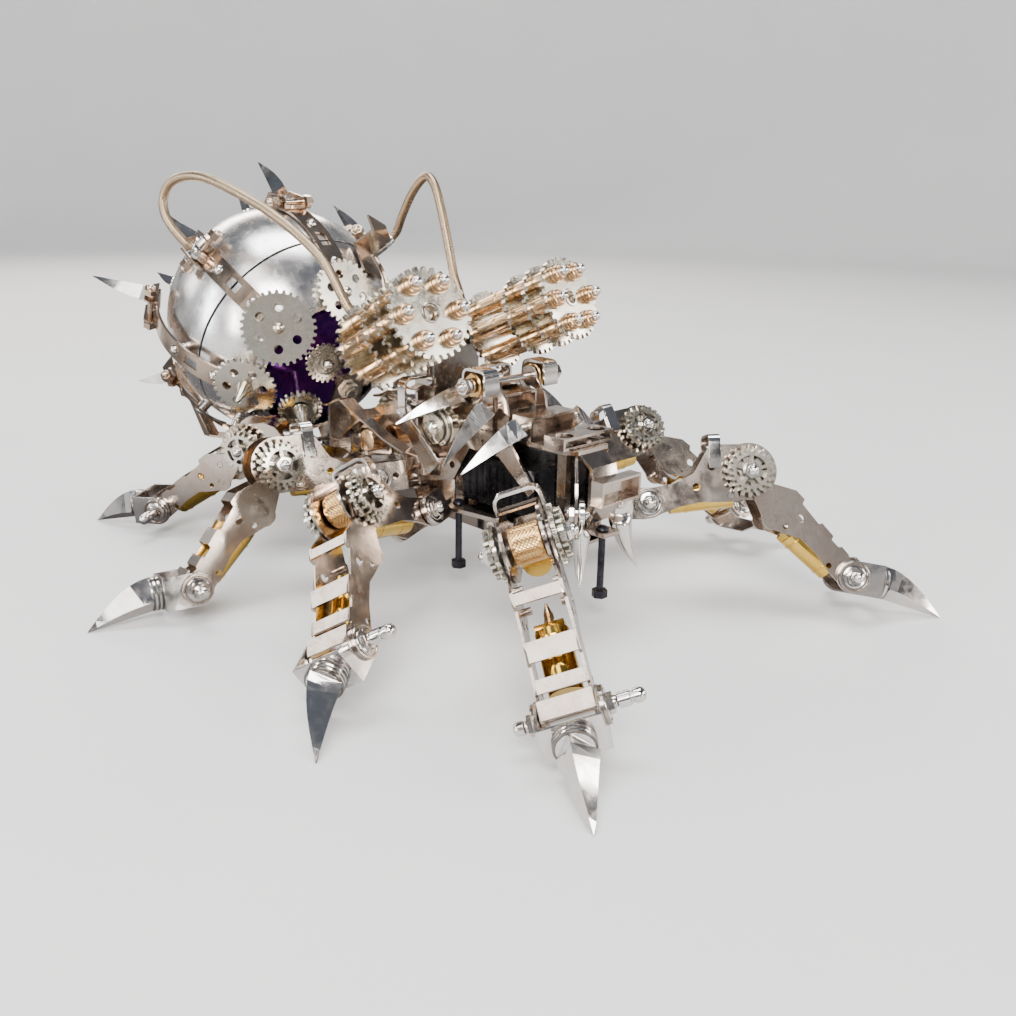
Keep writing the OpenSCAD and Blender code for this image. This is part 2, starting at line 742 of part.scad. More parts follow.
module gun_barrels_at(side) {
    color(COPPER) on_gun(side) for (i = [0 : 5]) rotate(60 * i) translate([barrel_circle_r, 0, 0]) {
        translate([0, 0, -33]) cylinder(r = barrel_r, h = 36, $fn = CIRCLE);
        translate([0, 0, 0.1]) cylinder(r = barrel_r + 0.35, h = 1.3, $fn = CIRCLE);
        translate([0, 0, 3]) cylinder(r = barrel_r - 0.6, h = 1.5, $fn = CIRCLE);
    }
}

module right_gun_discs() gun_discs_at("right");
module left_gun_discs() gun_discs_at("left");
module right_gun_barrels() gun_barrels_at("right");
module left_gun_barrels() gun_barrels_at("left");

// Column, crossbar and two bearing blocks behind the guns
module gun_yoke() {
    bar_y = -1.5;
    bar_z = 70.2;
    color("gainsboro") difference() {
        union() {
            for (side = SIDES) on_gun(side) translate([0, 0, -gun_len - 4])
                cylinder(r = 4.2, h = 5, $fn = CIRCLE);
            translate([-22, bar_y + 1, bar_z - 2.4]) cube([44, 3, 5]);
            translate([-3, bar_y - 3, deck_top + 0.02]) cube([6, 6, bar_z - deck_top]);
            both_sides() translate(hose_sockets[0]) sphere(r = 2.6, $fn = CIRCLE);
        }
        for (side = SIDES) on_gun(side) translate([0, 0, -gun_len - 10])
            cylinder(r = gun_shaft_r + FIT, h = 30, $fn = CIRCLE);
    }
}
hose_sockets = [[21, 1.5, 74]];

// ---------- abdomen ----------

// Straps along the meridians: turn, inner radius, polar start and end
straps = [[90, 40.15, 54, 114], [38, 40.15, 54, 109], [-6, 43, 53, 128], [-48, 43, 64, 116]];
strap_t = 0.9;
screw_polars = [62, 86];
clevis_back = 8;

// Gears on the ball: turn, polar place, inner radius, tip radius, teeth, number of holes
plate_gears = [[90, 46, 41.2, 11.2, 30, 6], [38, 46, 41.2, 12.3, 32, 6], [-4, 47, 44.3, 10.8, 30, 6]];
ringed_gear = [45, 23, 46, 6.8];
crown_gear = [-12, 24, 47.2, 7.4];

seam_gap = 0.3;

// Zone of the hollow ball between two heights along its axis, open out to a radius at its end
module shell_zone(low, high, open_r) {
    on_ball_axis() rotate_extrude($fn = 96) intersection() {
        difference() {
            circle(r = ball_r, $fn = 96);
            circle(r = ball_r - shell_t, $fn = 96);
        }
        translate([open_r, low]) square([ball_r, high - low]);
    }
}

// Hole through the shell for a screw
module shell_hole(polar, turn) {
    on_sides(turn) on_ball(polar, turn) translate([0, 0, ball_r - 5])
        cylinder(r = bolt_r + FIT, h = 9, $fn = CIRCLE);
}

module ball_front_shell() {
    color("gainsboro") difference() {
        shell_zone(-ball_r, -seam_off - seam_gap, mouth_r);
        for (t = straps) shell_hole(screw_polars[0], t[0]);
        for (g = plate_gears) shell_hole(g[1], g[0]);
    }
}

module ball_rear_shell() {
    color("whitesmoke") difference() {
        shell_zone(-seam_off, ball_r + 1, spindle_r + FIT);
        for (t = straps) shell_hole(screw_polars[1], t[0]);
    }
}

// Spindle, drum, toothed wheels and seam ring inside the ball
module ball_core() {
    ring_out = 36.0;
    color("midnightblue") {
        on_ball_axis() {
            translate([0, 0, -pole_r - 3.6])
                cylinder(r = spindle_r, h = pole_r + ball_r + 6.6, $fn = CIRCLE);
            translate([0, 0, -24]) cylinder(r = 15, h = 44, $fn = CIRCLE);
            for (z = [-27, 12]) translate([0, 0, z]) linear_extrude(2) gear_2d(23, 36, 1.2);
            translate([0, 0, -14]) difference() {
                cylinder(r = ring_out, h = 7, $fn = CIRCLE);
                translate([0, 0, -1]) cylinder(r = ring_out - 1.6, h = 9, $fn = CIRCLE);
            }
            for (i = [0 : 5]) rotate(60 * i + 15) translate([14, 0, -10.5]) rotate([0, 90, 0])
                cylinder(r = 1.2, h = ring_out - 15, $fn = CIRCLE);
            translate([0, 0, -pole_r - 3.1]) cylinder(d = 6.6, h = 1.8, $fn = 6);
            translate([0, 0, ball_r + 0.3]) cylinder(d = 6.6, h = 1.8, $fn = 6);
        }
        for (g = [ringed_gear, crown_gear]) both_sides() on_ball(g[1], g[0]) translate([0, 0, 14])
            cylinder(r = bolt_r, h = g[2] - 14 + 1.4, $fn = CIRCLE);
    }
}

module strap_arc(r, t, from, to, w) {
    rotate([90, 0, 0]) rotate([0, 0, from - 90])
        rotate_extrude(angle = to - from, $fn = 96) translate([r, -w / 2]) square([t, w]);
}

// Ears that rise from a strap's end, with their holes for the cross bolt
module clevis(base) {
    plate_pair(4.4, plate_t) difference() {
        polygon([[3.4, 0.3], [-clevis_back - 1.5, 0.1], [-clevis_back + 1, 4.6], [2, 4.8], [3.4, 3]]);
        disc(0, 2.6, bolt_r + FIT);
        disc(-4.6, 2.4, 1);
    }
}

module cage_straps() {
    color("wheat") {
        for (s = straps) on_sides(s[0]) {
            r = s[1];
            raised = r > ball_r + 1;
            difference() {
                union() {
                    on_meridian(s[0]) strap_arc(r, strap_t, s[2], s[3], strap_w);
                    on_ball(s[3] - 9, s[0]) translate([0, 0, r]) clevis();
                    on_ball(s[3] - 8, s[0]) translate([-5, -4.2, r]) cube([8, 8.4, strap_t]);
                }
                for (p = screw_polars) on_ball(p, s[0]) cylinder(r = bolt_r + FIT, h = 60, $fn = CIRCLE);
                on_ball(75, s[0]) translate([-3, -1.7, 38]) cube([6, 3.4, 8]);
            }
            for (p = screw_polars) on_ball(p, s[0]) {
                translate([0, 0, 34]) cylinder(r = bolt_r, h = r + strap_t - 34 + 0.3, $fn = CIRCLE);
                translate([0, 0, r + strap_t + 0.12]) screw_head(1.8, 1.1);
                if (raised) difference() {
                    translate([0, 0, ball_r + 0.03]) cylinder(r = 1.9, h = r - ball_r - 0.1, $fn = CIRCLE);
                    cylinder(r = bolt_r + FIT, h = 60, $fn = CIRCLE);
                }
            }
            on_ball(s[3] - 9, s[0]) translate([0, 0, r + 2.6]) pivot_bolt(5.6, 2.2);
        }
        // strips that run from the lowest straps down to the deck's tail
        both_sides() difference() {
            union() {
                hull() {
                    on_ball(112, -48) translate([-2, 0, 43.4]) cube([3, 5, 0.8], center = true);
                    translate([-24, 94, 26.35]) cube([4, 4, 0.8], center = true);
                }
                hull() {
                    translate([-24, 94, 26.35]) cube([4, 4, 0.8], center = true);
                    translate([-4, 55, 26.35]) cube([5, 10, 0.8], center = true);
                }
            }
            for (h = tail_screws) translate([-h[0], h[1], 20])
                cylinder(r = bolt_r + FIT, h = 9, $fn = CIRCLE);
        }
        for (p = [hose_end_right, hose_end_left]) hose_foot(p);
        // bracket plate that holds the left hose
        on_ball(66, 116) translate([-6, -5, 40.6]) {
            cube([12, 10, 0.8]);
            cube([0.8, 10, 9]);
            translate([-6, 0, 8.2]) cube([6.8, 10, 0.8]);
        }
    }
}

// Gears that lie on the ball, with their screws and spikes
module ball_gears() {
    color("silver") {
        for (g = plate_gears) on_sides(g[0]) on_ball(g[1], g[0]) {
            translate([0, 0, g[2]]) linear_extrude(1) difference() {
                gear_2d(g[3], g[4], 1.1);
                ring_of_holes(g[3] * 0.56, 1.5, g[5], 12);
                disc(0, 0, bolt_r + FIT);
            }
            translate([0, 0, 34]) cylinder(r = bolt_r, h = g[2] - 34 + 1.3, $fn = CIRCLE);
            difference() {
                translate([0, 0, ball_r + 0.03]) cylinder(r = 2.2, h = g[2] - ball_r - 0.1, $fn = CIRCLE);
                cylinder(r = bolt_r + FIT, h = 60, $fn = CIRCLE);
            }
            translate([0, 0, g[2] + 1.1]) {
                if (g[0] == -4) cylinder(r1 = 2.7, r2 = 0.3, h = 8.5, $fn = CIRCLE);
                else screw_head(1.9, 1.3);
            }
        }
        both_sides() {
            g = ringed_gear;
            on_ball(g[1], g[0]) translate([0, 0, g[2]]) {
                difference() {
                    union() {
                        linear_extrude(0.9) gear_2d(g[3], 22, 0.9);
                        linear_extrude(1.7) gear_2d(g[3] - 1.5, 22, 0.7);
                    }
                    translate([0, 0, 0.9]) difference() {
                        cylinder(r = g[3] - 3, h = 2, $fn = CIRCLE);
                        translate([0, 0, -1]) cylinder(r = 2.2, h = 4, $fn = CIRCLE);
                    }
                    translate([0, 0, -1]) cylinder(r = bolt_r + FIT, h = 4, $fn = CIRCLE);
                }
                translate([0, 0, 1.85]) dome_nut(4.2, 1.2, 1.3);
            }
            c = crown_gear;
            on_ball(c[1], c[0]) translate([0, 0, c[2]]) {
                difference() {
                    union() {
                        linear_extrude(0.9) gear_2d(c[3], 22, 1.4);
                        for (i = [0 : 21]) rotate(i * 360 / 22) translate([c[3] - 1.5, -0.5, 0])
                            cube([1, 1, 2.4]);
                    }
                    translate([0, 0, -1]) cylinder(r = bolt_r + FIT, h = 3, $fn = CIRCLE);
                }
                translate([0, 0, 1.5]) cylinder(r1 = 2.7, r2 = 0.3, h = 8.5, $fn = CIRCLE);
            }
        }
    }
}

// ---------- hoses ----------

hose_r = 1.25;
hose_rings = 42;
hose_sides = 10;
hose_end_right = [-35.5, 74, 93.2];
hose_end_left = [29.6, 58, 94.8];

// Round foot on the ball under the end of a hose
module hose_foot(tip) {
    d = tip - [0, ball_y, ball_z];
    translate([0, ball_y, ball_z]) rotate([0, acos(d[2] / norm(d)), atan2(d[1], d[0])])
        translate([0, 0, ball_r + 0.03]) cylinder(r = 2.3, h = norm(d) - ball_r - 0.2, $fn = CIRCLE);
}

// Routes of the two bent tubes, from the gun yoke to the ball
right_route = [[-21, 3.73, 75.42], [-22, 7, 79], [-23, 10, 83], [-24, 18, 93.5], [-26, 28, 101],
    [-29, 39, 107.5], [-32, 49, 112], [-35, 58, 115.5], [-37, 66, 117.3], [-39, 73.5, 117],
    [-40.6, 79.3, 114.6], [-41.8, 81.5, 110], [-42.2, 80.5, 105.5], [-41.4, 77.3, 101],
    [-39.3, 74.2, 96.9], [-38, 73.6, 95.1], hose_end_right];
left_route = [[21, 3.73, 75.42], [22.3, 8, 79.5], [24, 12, 83.5], [25.2, 15.5, 88], [27, 20.5, 98],
    [28.5, 25.5, 108], [29.4, 29.5, 115], [30, 34, 118.3], [30.2, 38.5, 116.5], [30.2, 43.5, 111.5],
    [31, 49.5, 104.2], [32.6, 54, 99.6], [31.9, 56.3, 97], hose_end_left];

function route_at(p, t) = let (n = len(p) - 1, i = min(floor(t * n), n - 1), f = t * n - i,
    a = p[max(i - 1, 0)], b = p[i], c = p[i + 1], d = p[min(i + 2, n)])
    0.5 * (2 * b + (c - a) * f + (2 * a - 5 * b + 4 * c - d) * f * f
        + (3 * b - a - 3 * c + d) * f * f * f);

module bent_tube(route, r, rings, sides) {
    centres = [for (i = [0 : rings]) route_at(route, i / rings)];
    points = [for (i = [0 : rings]) let (
        along = centres[min(i + 1, rings)] - centres[max(i - 1, 0)],
        run = along / norm(along),
        across = cross(run, [1, 0.2, 0]),
        u = across / norm(across), v = cross(run, u))
        each [for (j = [0 : sides - 1]) centres[i]
            + r * (cos(360 * j / sides) * u + sin(360 * j / sides) * v)]];
    walls = [for (i = [0 : rings - 1]) for (j = [0 : sides - 1]) let (
        a = sides * i + j, b = sides * i + (j + 1) % sides)
        each [[a, b, a + sides], [b, b + sides, a + sides]]];
    polyhedron(points, concat(walls, [[for (j = [sides - 1 : -1 : 0]) j]],
        [[for (j = [0 : sides - 1]) sides * rings + j]]));
}

module hoses() {
    color("tan") {
        bent_tube(right_route, hose_r, hose_rings, hose_sides);
        bent_tube(left_route, hose_r, hose_rings, hose_sides);
    }
}

// ---------- assembly ----------

// Shift that puts the origin on the ground under the middle of the whole spider
middle_shift = [0, 7.84, 0.06];

module placed() {
    translate(middle_shift) children();
}

placed() chassis_deck();
placed() coxa_brackets();
placed() chassis_fasteners();
placed() upper_deck();
placed() armour_ribs();
placed() gearbox();
placed() spike_claws();
placed() right_fang();
placed() left_fang();
placed() gun_yoke();
placed() right_gun_discs();
placed() left_gun_discs();
placed() right_gun_barrels();
placed() left_gun_barrels();
placed() ball_front_shell();
placed() ball_rear_shell();
placed() ball_core();
placed() cage_straps();
placed() ball_gears();
placed() hoses();
for (s = SIDES) for (k = [0 : 3]) {
    leg = str(LEG_NAMES[k], "_", s);
    placed() femur(k, s);
    placed() femur_tube(k, s);
    placed() tibia(k, s);
    placed() tibia_tube(k, s);
    placed() foot(k, s);
}
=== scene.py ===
import json
import math

import bmesh
import bpy
from mathutils import Matrix, Vector


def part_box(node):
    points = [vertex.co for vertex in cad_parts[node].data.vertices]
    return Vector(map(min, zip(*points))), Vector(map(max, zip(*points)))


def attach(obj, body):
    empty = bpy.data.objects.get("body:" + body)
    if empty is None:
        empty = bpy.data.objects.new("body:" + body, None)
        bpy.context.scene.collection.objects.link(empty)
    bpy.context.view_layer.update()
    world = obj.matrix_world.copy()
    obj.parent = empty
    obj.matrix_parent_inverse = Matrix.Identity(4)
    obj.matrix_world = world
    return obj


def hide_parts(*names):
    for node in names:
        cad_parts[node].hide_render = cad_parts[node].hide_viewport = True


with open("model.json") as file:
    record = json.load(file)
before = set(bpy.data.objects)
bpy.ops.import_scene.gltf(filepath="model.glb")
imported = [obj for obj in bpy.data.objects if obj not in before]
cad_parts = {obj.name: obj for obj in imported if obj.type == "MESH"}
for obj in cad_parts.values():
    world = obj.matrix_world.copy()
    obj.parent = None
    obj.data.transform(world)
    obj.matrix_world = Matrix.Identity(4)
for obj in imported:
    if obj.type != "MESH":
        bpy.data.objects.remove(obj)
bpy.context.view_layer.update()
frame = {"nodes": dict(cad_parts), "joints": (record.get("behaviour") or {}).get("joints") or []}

# Everything is in metres in the CAD frame: +Z up, the spider faces -Y and its right side is -X.
MM = 0.001
JOINTS = {joint["name"]: joint for joint in frame["joints"]}
SIDES = ("right", "left")
LEGS = ("front", "second", "third", "rear")

# Sizes shared with the CAD model, in millimetres
CLAW_BEND = 14
BALL_TILT = 26
SHELL = 1.0
SEAM = 10.0
SEAM_GAP = 0.75
MOUTH_R = 27.0
SPINDLE_HOLE = 2.06
ROLLER_R = 4.7
ROLLER_HALF = 3.9
FEMUR_OUT = 5.2
TIBIA_OUT = 6.2
FOOT_OUT = 7.2
BARREL_CIRCLE = 8.6
AXLE_FLOOR = 55
# Screws of a shin's plates and of its tube: places along and above the shin
SHIN_SCREWS = ((11, 0.3), (14.6, -4.5))
TUBE_SCREWS = ((18.5, -3.6), (35, -2.6))

# The thick part of a tube in its limb's frame: its start, the height and slope of its axis, how many
# times thicker it is shown and how far it is lifted
THIGH_TUBE = (0, -0.39, -0.201, 1.22, 0.3)
SHIN_TUBE = (19.95, -4.83, 0.0638, 1.5, 0.8)

MIRROR = Matrix.Scale(-1, 4, (1, 0, 0))
# An outline's x and y become y and z, or x and z
UPRIGHT = Matrix(((0, 0, 1, 0), (1, 0, 0, 0), (0, 1, 0, 0), (0, 0, 0, 1)))
FRONTAL = Matrix(((1, 0, 0, 0), (0, 0, 1, 0), (0, 1, 0, 0), (0, 0, 0, 1)))


# ---------- materials ----------

class Shader:
    """A node material with short calls for the nodes used here."""

    def __init__(self, name):
        self.material = bpy.data.materials.new(name)
        self.material.use_nodes = True
        self.tree = self.material.node_tree
        self.tree.nodes.clear()
        self.output = self.tree.nodes.new("ShaderNodeOutputMaterial")
        self.surface = self.tree.nodes.new("ShaderNodeBsdfPrincipled")
        self.link(self.surface.outputs[0], self.output.inputs[0])
        self.place = self.tree.nodes.new("ShaderNodeTexCoord").outputs["Object"]

    def link(self, a, b):
        self.tree.links.new(a, b)

    def stretched(self, scale):
        mapping = self.tree.nodes.new("ShaderNodeMapping")
        mapping.inputs["Scale"].default_value = scale
        self.link(self.place, mapping.inputs["Vector"])
        return mapping.outputs[0]

    def noise(self, scale, detail=3.0, rough=0.5, vector=None):
        node = self.tree.nodes.new("ShaderNodeTexNoise")
        node.inputs["Scale"].default_value = scale
        node.inputs["Detail"].default_value = detail
        node.inputs["Roughness"].default_value = rough
        self.link(vector or self.place, node.inputs["Vector"])
        return node.outputs["Fac"]

    def spread(self, value, low, high, to_low, to_high):
        node = self.tree.nodes.new("ShaderNodeMapRange")
        node.clamp = True
        for key, number in zip(("From Min", "From Max", "To Min", "To Max"), (low, high, to_low, to_high)):
            node.inputs[key].default_value = number
        self.link(value, node.inputs["Value"])
        return node.outputs["Result"]

    def blend(self, factor, a, b, mode="MIX"):
        node = self.tree.nodes.new("ShaderNodeMix")
        node.data_type = "RGBA"
        node.blend_type = mode
        for value, socket in ((factor, node.inputs[0]), (a, node.inputs[6]), (b, node.inputs[7])):
            if isinstance(value, (int, float)):
                socket.default_value = value
            elif isinstance(value, tuple):
                socket.default_value = (*value, 1)
            else:
                self.link(value, socket)
        return node.outputs[2]

    def maths(self, operation, a, b):
        node = self.tree.nodes.new("ShaderNodeMath")
        node.operation = operation
        for value, socket in ((a, node.inputs[0]), (b, node.inputs[1])):
            if isinstance(value, (int, float)):
                socket.default_value = value
            else:
                self.link(value, socket)
        return node.outputs[0]

    def bump(self, height, strength, distance):
        node = self.tree.nodes.new("ShaderNodeBump")
        node.inputs["Strength"].default_value = strength
        node.inputs["Distance"].default_value = distance
        self.link(height, node.inputs["Height"])
        self.link(node.outputs[0], self.surface.inputs["Normal"])

    def crevices(self, distance):
        node = self.tree.nodes.new("ShaderNodeAmbientOcclusion")
        node.samples = 5
        node.inputs["Distance"].default_value = distance
        return node.outputs["AO"]


def metal(name, colour, tint, rough, streak=(2600, 260, 260), grain=0.05, crevice_shade_amount=0.6, patch=0.5,
          shade=0.2):
    """Worked metal: cloudy heat tint, brushed streaks, darker handling marks and painted shade darkening its
    crevices.
    """
    s = Shader(name)
    clouds = s.noise(110, 4.0, 0.6)
    fine = s.noise(1.0, 4.0, 0.65, s.stretched(streak))
    smudge = s.noise(260, 4.0, 0.7)
    body = s.blend(s.spread(clouds, 0.40, 0.62, 0.0, patch), colour, tint)
    body = s.blend(s.spread(smudge, 0.45, 0.70, 0.0, shade), body, tuple(0.42 * c for c in tint))
    body = s.blend(s.spread(fine, 0.35, 0.7, 0.0, 0.25), body, tuple(0.55 * c for c in colour))
    # Painted shade: the colour is darkened in crevices found by ambient occlusion, which are also made a
    # little rougher.
    crevice_shade = s.spread(s.crevices(2.4 * MM), 0.25, 0.9, crevice_shade_amount, 0.0)
    body = s.blend(crevice_shade, body, tuple(0.08 * c + 0.004 for c in colour))
    s.link(body, s.surface.inputs["Base Color"])
    s.surface.inputs["Metallic"].default_value = 1.0
    low, high = rough
    uneven = s.maths("ADD", s.spread(smudge, 0.35, 0.7, low, high), s.spread(fine, 0.3, 0.8, 0.0, 0.08))
    s.link(s.maths("ADD", uneven, s.maths("MULTIPLY", crevice_shade, 0.2)), s.surface.inputs["Roughness"])
    s.bump(s.maths("ADD", fine, s.maths("MULTIPLY", s.noise(5200, 2.0), 0.5)), grain, 0.06 * MM)
    return s.material


def wound_metal(name, colour, tint):
    """Steel wire of a wound hose. The turns are in its mesh, so only grain, tint and painted shade in its
    crevices are added.
    """
    return metal(name, colour, tint, (0.22, 0.36), (400, 400, 2600), 0.08, 0.4)


def lacquer(name, colour, painted_glint, rough):
    """Dark painted or anodised metal with a coloured glint painted in cloudy patches, dust and fine pitting.
    """
    s = Shader(name)
    clouds = s.noise(70, 3.0, 0.6)
    # Painted glint: cloudy patches blend the dark colour towards a lighter coloured one.
    body = s.blend(s.spread(clouds, 0.4, 0.62, 0.0, 1.0), colour, painted_glint)
    dust = s.spread(s.noise(900, 3.0, 0.7), 0.55, 0.8, 0.0, 0.35)
    body = s.blend(dust, body, (0.16, 0.16, 0.17))
    s.link(body, s.surface.inputs["Base Color"])
    s.surface.inputs["Metallic"].default_value = 0.85
    s.link(s.spread(s.noise(300, 4.0, 0.6), 0.3, 0.7, *rough), s.surface.inputs["Roughness"])
    s.bump(s.noise(3500, 3.0), 0.08, 0.05 * MM)
    return s.material


def floor_paint():
    """Pale studio paper. Mirror rays see it dimmed in soft patches, as if dark cards stood round it."""
    s = Shader("studio_floor")
    tone = s.blend(s.spread(s.noise(9, 4.0), 0.3, 0.7, 0.0, 1.0), (0.76, 0.765, 0.77), (0.79, 0.79, 0.79))
    glossy = s.tree.nodes.new("ShaderNodeLightPath").outputs["Is Glossy Ray"]
    cards = s.spread(s.noise(3.1, 2.0, 0.4), 0.46, 0.54, 0.96, 0.30)
    tone = s.blend(s.maths("MULTIPLY", glossy, cards), tone, (0.03, 0.03, 0.035))
    s.link(tone, s.surface.inputs["Base Color"])
    s.surface.inputs["Roughness"].default_value = 0.6
    s.surface.inputs["Specular IOR Level"].default_value = 0.2
    s.bump(s.noise(600, 3.0), 0.03, 0.05 * MM)
    return s.material


PLATE = metal("plate_steel", (0.66, 0.58, 0.51), (0.54, 0.39, 0.31), (0.07, 0.19))
BRIGHT = metal("polished_steel", (0.90, 0.87, 0.84), (0.80, 0.66, 0.56), (0.03, 0.12), grain=0.02, shade=0.15)
CLAW = metal("claw_steel", (0.92, 0.90, 0.88), (0.88, 0.68, 0.56), (0.05, 0.16), (900, 120, 900),
             0.03, 0.4, 0.35, 0.12)
GEAR = metal("gear_steel", (0.86, 0.82, 0.72), (0.74, 0.62, 0.47), (0.10, 0.22), (1800, 1800, 1800),
             0.05, 0.8)
WARM = metal("warm_steel", (0.78, 0.62, 0.49), (0.64, 0.44, 0.31), (0.08, 0.20))
DARK = metal("dark_steel", (0.26, 0.24, 0.22), (0.32, 0.25, 0.20), (0.14, 0.30))
BALL = metal("ball_steel", (0.88, 0.86, 0.85), (0.84, 0.74, 0.70), (0.17, 0.27), (520, 90, 90),
             0.015, 0.5, 0.3, 0.1)
BRASS = metal("brass", (0.96, 0.64, 0.14), (0.80, 0.42, 0.05), (0.08, 0.18), (380, 1500, 1500),
              0.03, 0.45, 0.4)
COPPER = metal("copper", (0.88, 0.61, 0.37), (0.72, 0.44, 0.23), (0.13, 0.24), (900, 900, 900), 0.04, 0.6)
KNURL = metal("knurled_copper", (0.92, 0.58, 0.24), (0.82, 0.44, 0.15), (0.16, 0.26), (900, 900, 900),
              0.02, 0.6)
HOSE = wound_metal("hose_steel", (0.44, 0.33, 0.22), (0.50, 0.34, 0.20))
BLACK = lacquer("black_lacquer", (0.012, 0.012, 0.014), (0.035, 0.034, 0.042), (0.18, 0.40))
BLUE = lacquer("blue_anodised", (0.012, 0.006, 0.16), (0.14, 0.006, 0.22), (0.10, 0.26))
# Amber colour that paints warm light on the small patches behind the ball.
PAINTED_WARM_LIGHT = metal("painted_warm_light_amber", (0.95, 0.45, 0.03), (0.85, 0.30, 0.01), (0.08, 0.18))


# ---------- mesh tools ----------

def finish_mesh(bm, name, materials, body, slot, bevel=0.0, segments=2, sharp=32, stands_for=()):
    """Turns a bmesh into a piece that rides on a CAD body."""
    mesh = bpy.data.meshes.new(name)
    bm.to_mesh(mesh)
    bm.free()
    for material in materials:
        mesh.materials.append(material)
    mesh.polygons.foreach_set("use_smooth", [True] * len(mesh.polygons))
    mesh.set_sharp_from_angle(angle=math.radians(sharp))
    piece = bpy.data.objects.new(name, mesh)
    bpy.context.scene.collection.objects.link(piece)
    if bevel:
        soft = piece.modifiers.new("edges", "BEVEL")
        soft.width = bevel * MM
        soft.segments = segments
        soft.limit_method = "ANGLE"
        soft.angle_limit = math.radians(38)
        soft.use_clamp_overlap = True
        soft.harden_normals = segments > 1
    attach(piece, body)
    if stands_for:
        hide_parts(*stands_for)
    return piece


def cad_mesh(node):
    """A clean copy of a CAD node: welded, with its flat faces merged."""
    bm = bmesh.new()
    bm.from_mesh(frame["nodes"][node].data)
    bmesh.ops.remove_doubles(bm, verts=bm.verts, dist=0.0008 * MM)
    bmesh.ops.dissolve_degenerate(bm, edges=bm.edges, dist=0.0004 * MM)
    bmesh.ops.dissolve_limit(bm, angle_limit=math.radians(0.7), verts=bm.verts, edges=bm.edges)
    bmesh.ops.recalc_face_normals(bm, faces=bm.faces)
    return bm


def solids(bm):
    """Faces of each separate solid."""
    seen = set()
    for start in bm.faces:
        if start in seen:
            continue
        stack, solid = [start], []
        seen.add(start)
        while stack:
            face = stack.pop()
            solid.append(face)
            for edge in face.edges:
                for other in edge.link_faces:
                    if other not in seen:
                        seen.add(other)
                        stack.append(other)
        yield solid


def extent(faces, frame_of=Matrix.Identity(4)):
    """Lowest and highest corner of some faces, in millimetres in a frame."""
    inverse = frame_of.inverted()
    points = [inverse @ v.co for face in faces for v in face.verts]
    low = Vector([min(p[i] for p in points) for i in range(3)]) / MM
    high = Vector([max(p[i] for p in points) for i in range(3)]) / MM
    return low, high


def refine(node, body, slot, materials, choose=None, bevel=0.12, segments=2,
           frame_of=Matrix.Identity(4), drop=None, paint=None, reshape=None):
    """Replaces a CAD node by its own shape with eased edges.

    choose gives a material number for each solid and drop says which solids are left out. paint, given
    a face's middle in the frame's millimetres, gives that face its material number. reshape gives a
    corner its new place in the same frame.
    """
    bm = cad_mesh(node)
    inverse = frame_of.inverted()
    if reshape:
        for vert in bm.verts:
            vert.co = frame_of @ (reshape(inverse @ vert.co / MM) * MM)
    unwanted = []
    for solid in solids(bm):
        low, high = extent(solid, frame_of)
        if drop and drop(low, high):
            unwanted.extend(solid)
            continue
        number = choose(low, high) if choose else 0
        for face in solid:
            own = paint(inverse @ face.calc_center_median() / MM, number) if paint else number
            face.material_index = own
    if unwanted:
        bmesh.ops.delete(bm, geom=unwanted, context="FACES")
    return finish_mesh(bm, node + ".look", materials, body, slot, bevel, segments, stands_for=[node])


def skin(bm, rings, ends=True):
    """Faces from each ring of corners to the next, and over both ends."""
    for a, b in zip(rings, rings[1:]):
        for i in range(len(a)):
            j = (i + 1) % len(a)
            bm.faces.new((a[i], a[j], b[j], b[i]))
    if ends:
        bm.faces.new(list(reversed(rings[0])))
        bm.faces.new(rings[-1])


def lathe(profile, sides=32):
    """Closed turned shape about z: profile is (radius, height) pairs in millimetres from bottom to top."""
    bm = bmesh.new()
    rings = []
    for radius, height in profile:
        if radius < 1e-6:
            rings.append([bm.verts.new((0, 0, height * MM))])
            continue
        rings.append([bm.verts.new((radius * MM * math.cos(2 * math.pi * i / sides),
                                    radius * MM * math.sin(2 * math.pi * i / sides), height * MM))
                      for i in range(sides)])
    for a, b in zip(rings, rings[1:]):
        for i in range(sides):
            j = (i + 1) % sides
            corners = [a[i % len(a)], a[j % len(a)], b[j % len(b)], b[i % len(b)]]
            unique = []
            for corner in corners:
                if corner not in unique:
                    unique.append(corner)
            if len(unique) > 2:
                bm.faces.new(unique)
    for ring, flip in ((rings[0], True), (rings[-1], False)):
        if len(ring) > 1:
            bm.faces.new(list(reversed(ring)) if flip else ring)
    bmesh.ops.recalc_face_normals(bm, faces=bm.faces)
    return bm


def ring_lathe(profile, sides=40):
    """Closed ring about z from a closed section of (radius, height) pairs in millimetres."""
    bm = bmesh.new()
    rings = [[bm.verts.new((r * MM * math.cos(2 * math.pi * i / sides),
                            r * MM * math.sin(2 * math.pi * i / sides), z * MM)) for i in range(sides)]
             for r, z in profile]
    skin(bm, rings + rings[:1], False)
    bmesh.ops.recalc_face_normals(bm, faces=bm.faces)
    return bm


def prism(outline, low, high):
    """Plate with an (x, y) outline in millimetres between two heights."""
    bm = bmesh.new()
    skin(bm, [[bm.verts.new((x * MM, y * MM, z * MM)) for x, y in outline] for z in (low, high)])
    bmesh.ops.recalc_face_normals(bm, faces=bm.faces)
    return bm


def to_template(bm, name):
    mesh = bpy.data.meshes.new(name)
    bm.to_mesh(mesh)
    bm.free()
    return mesh


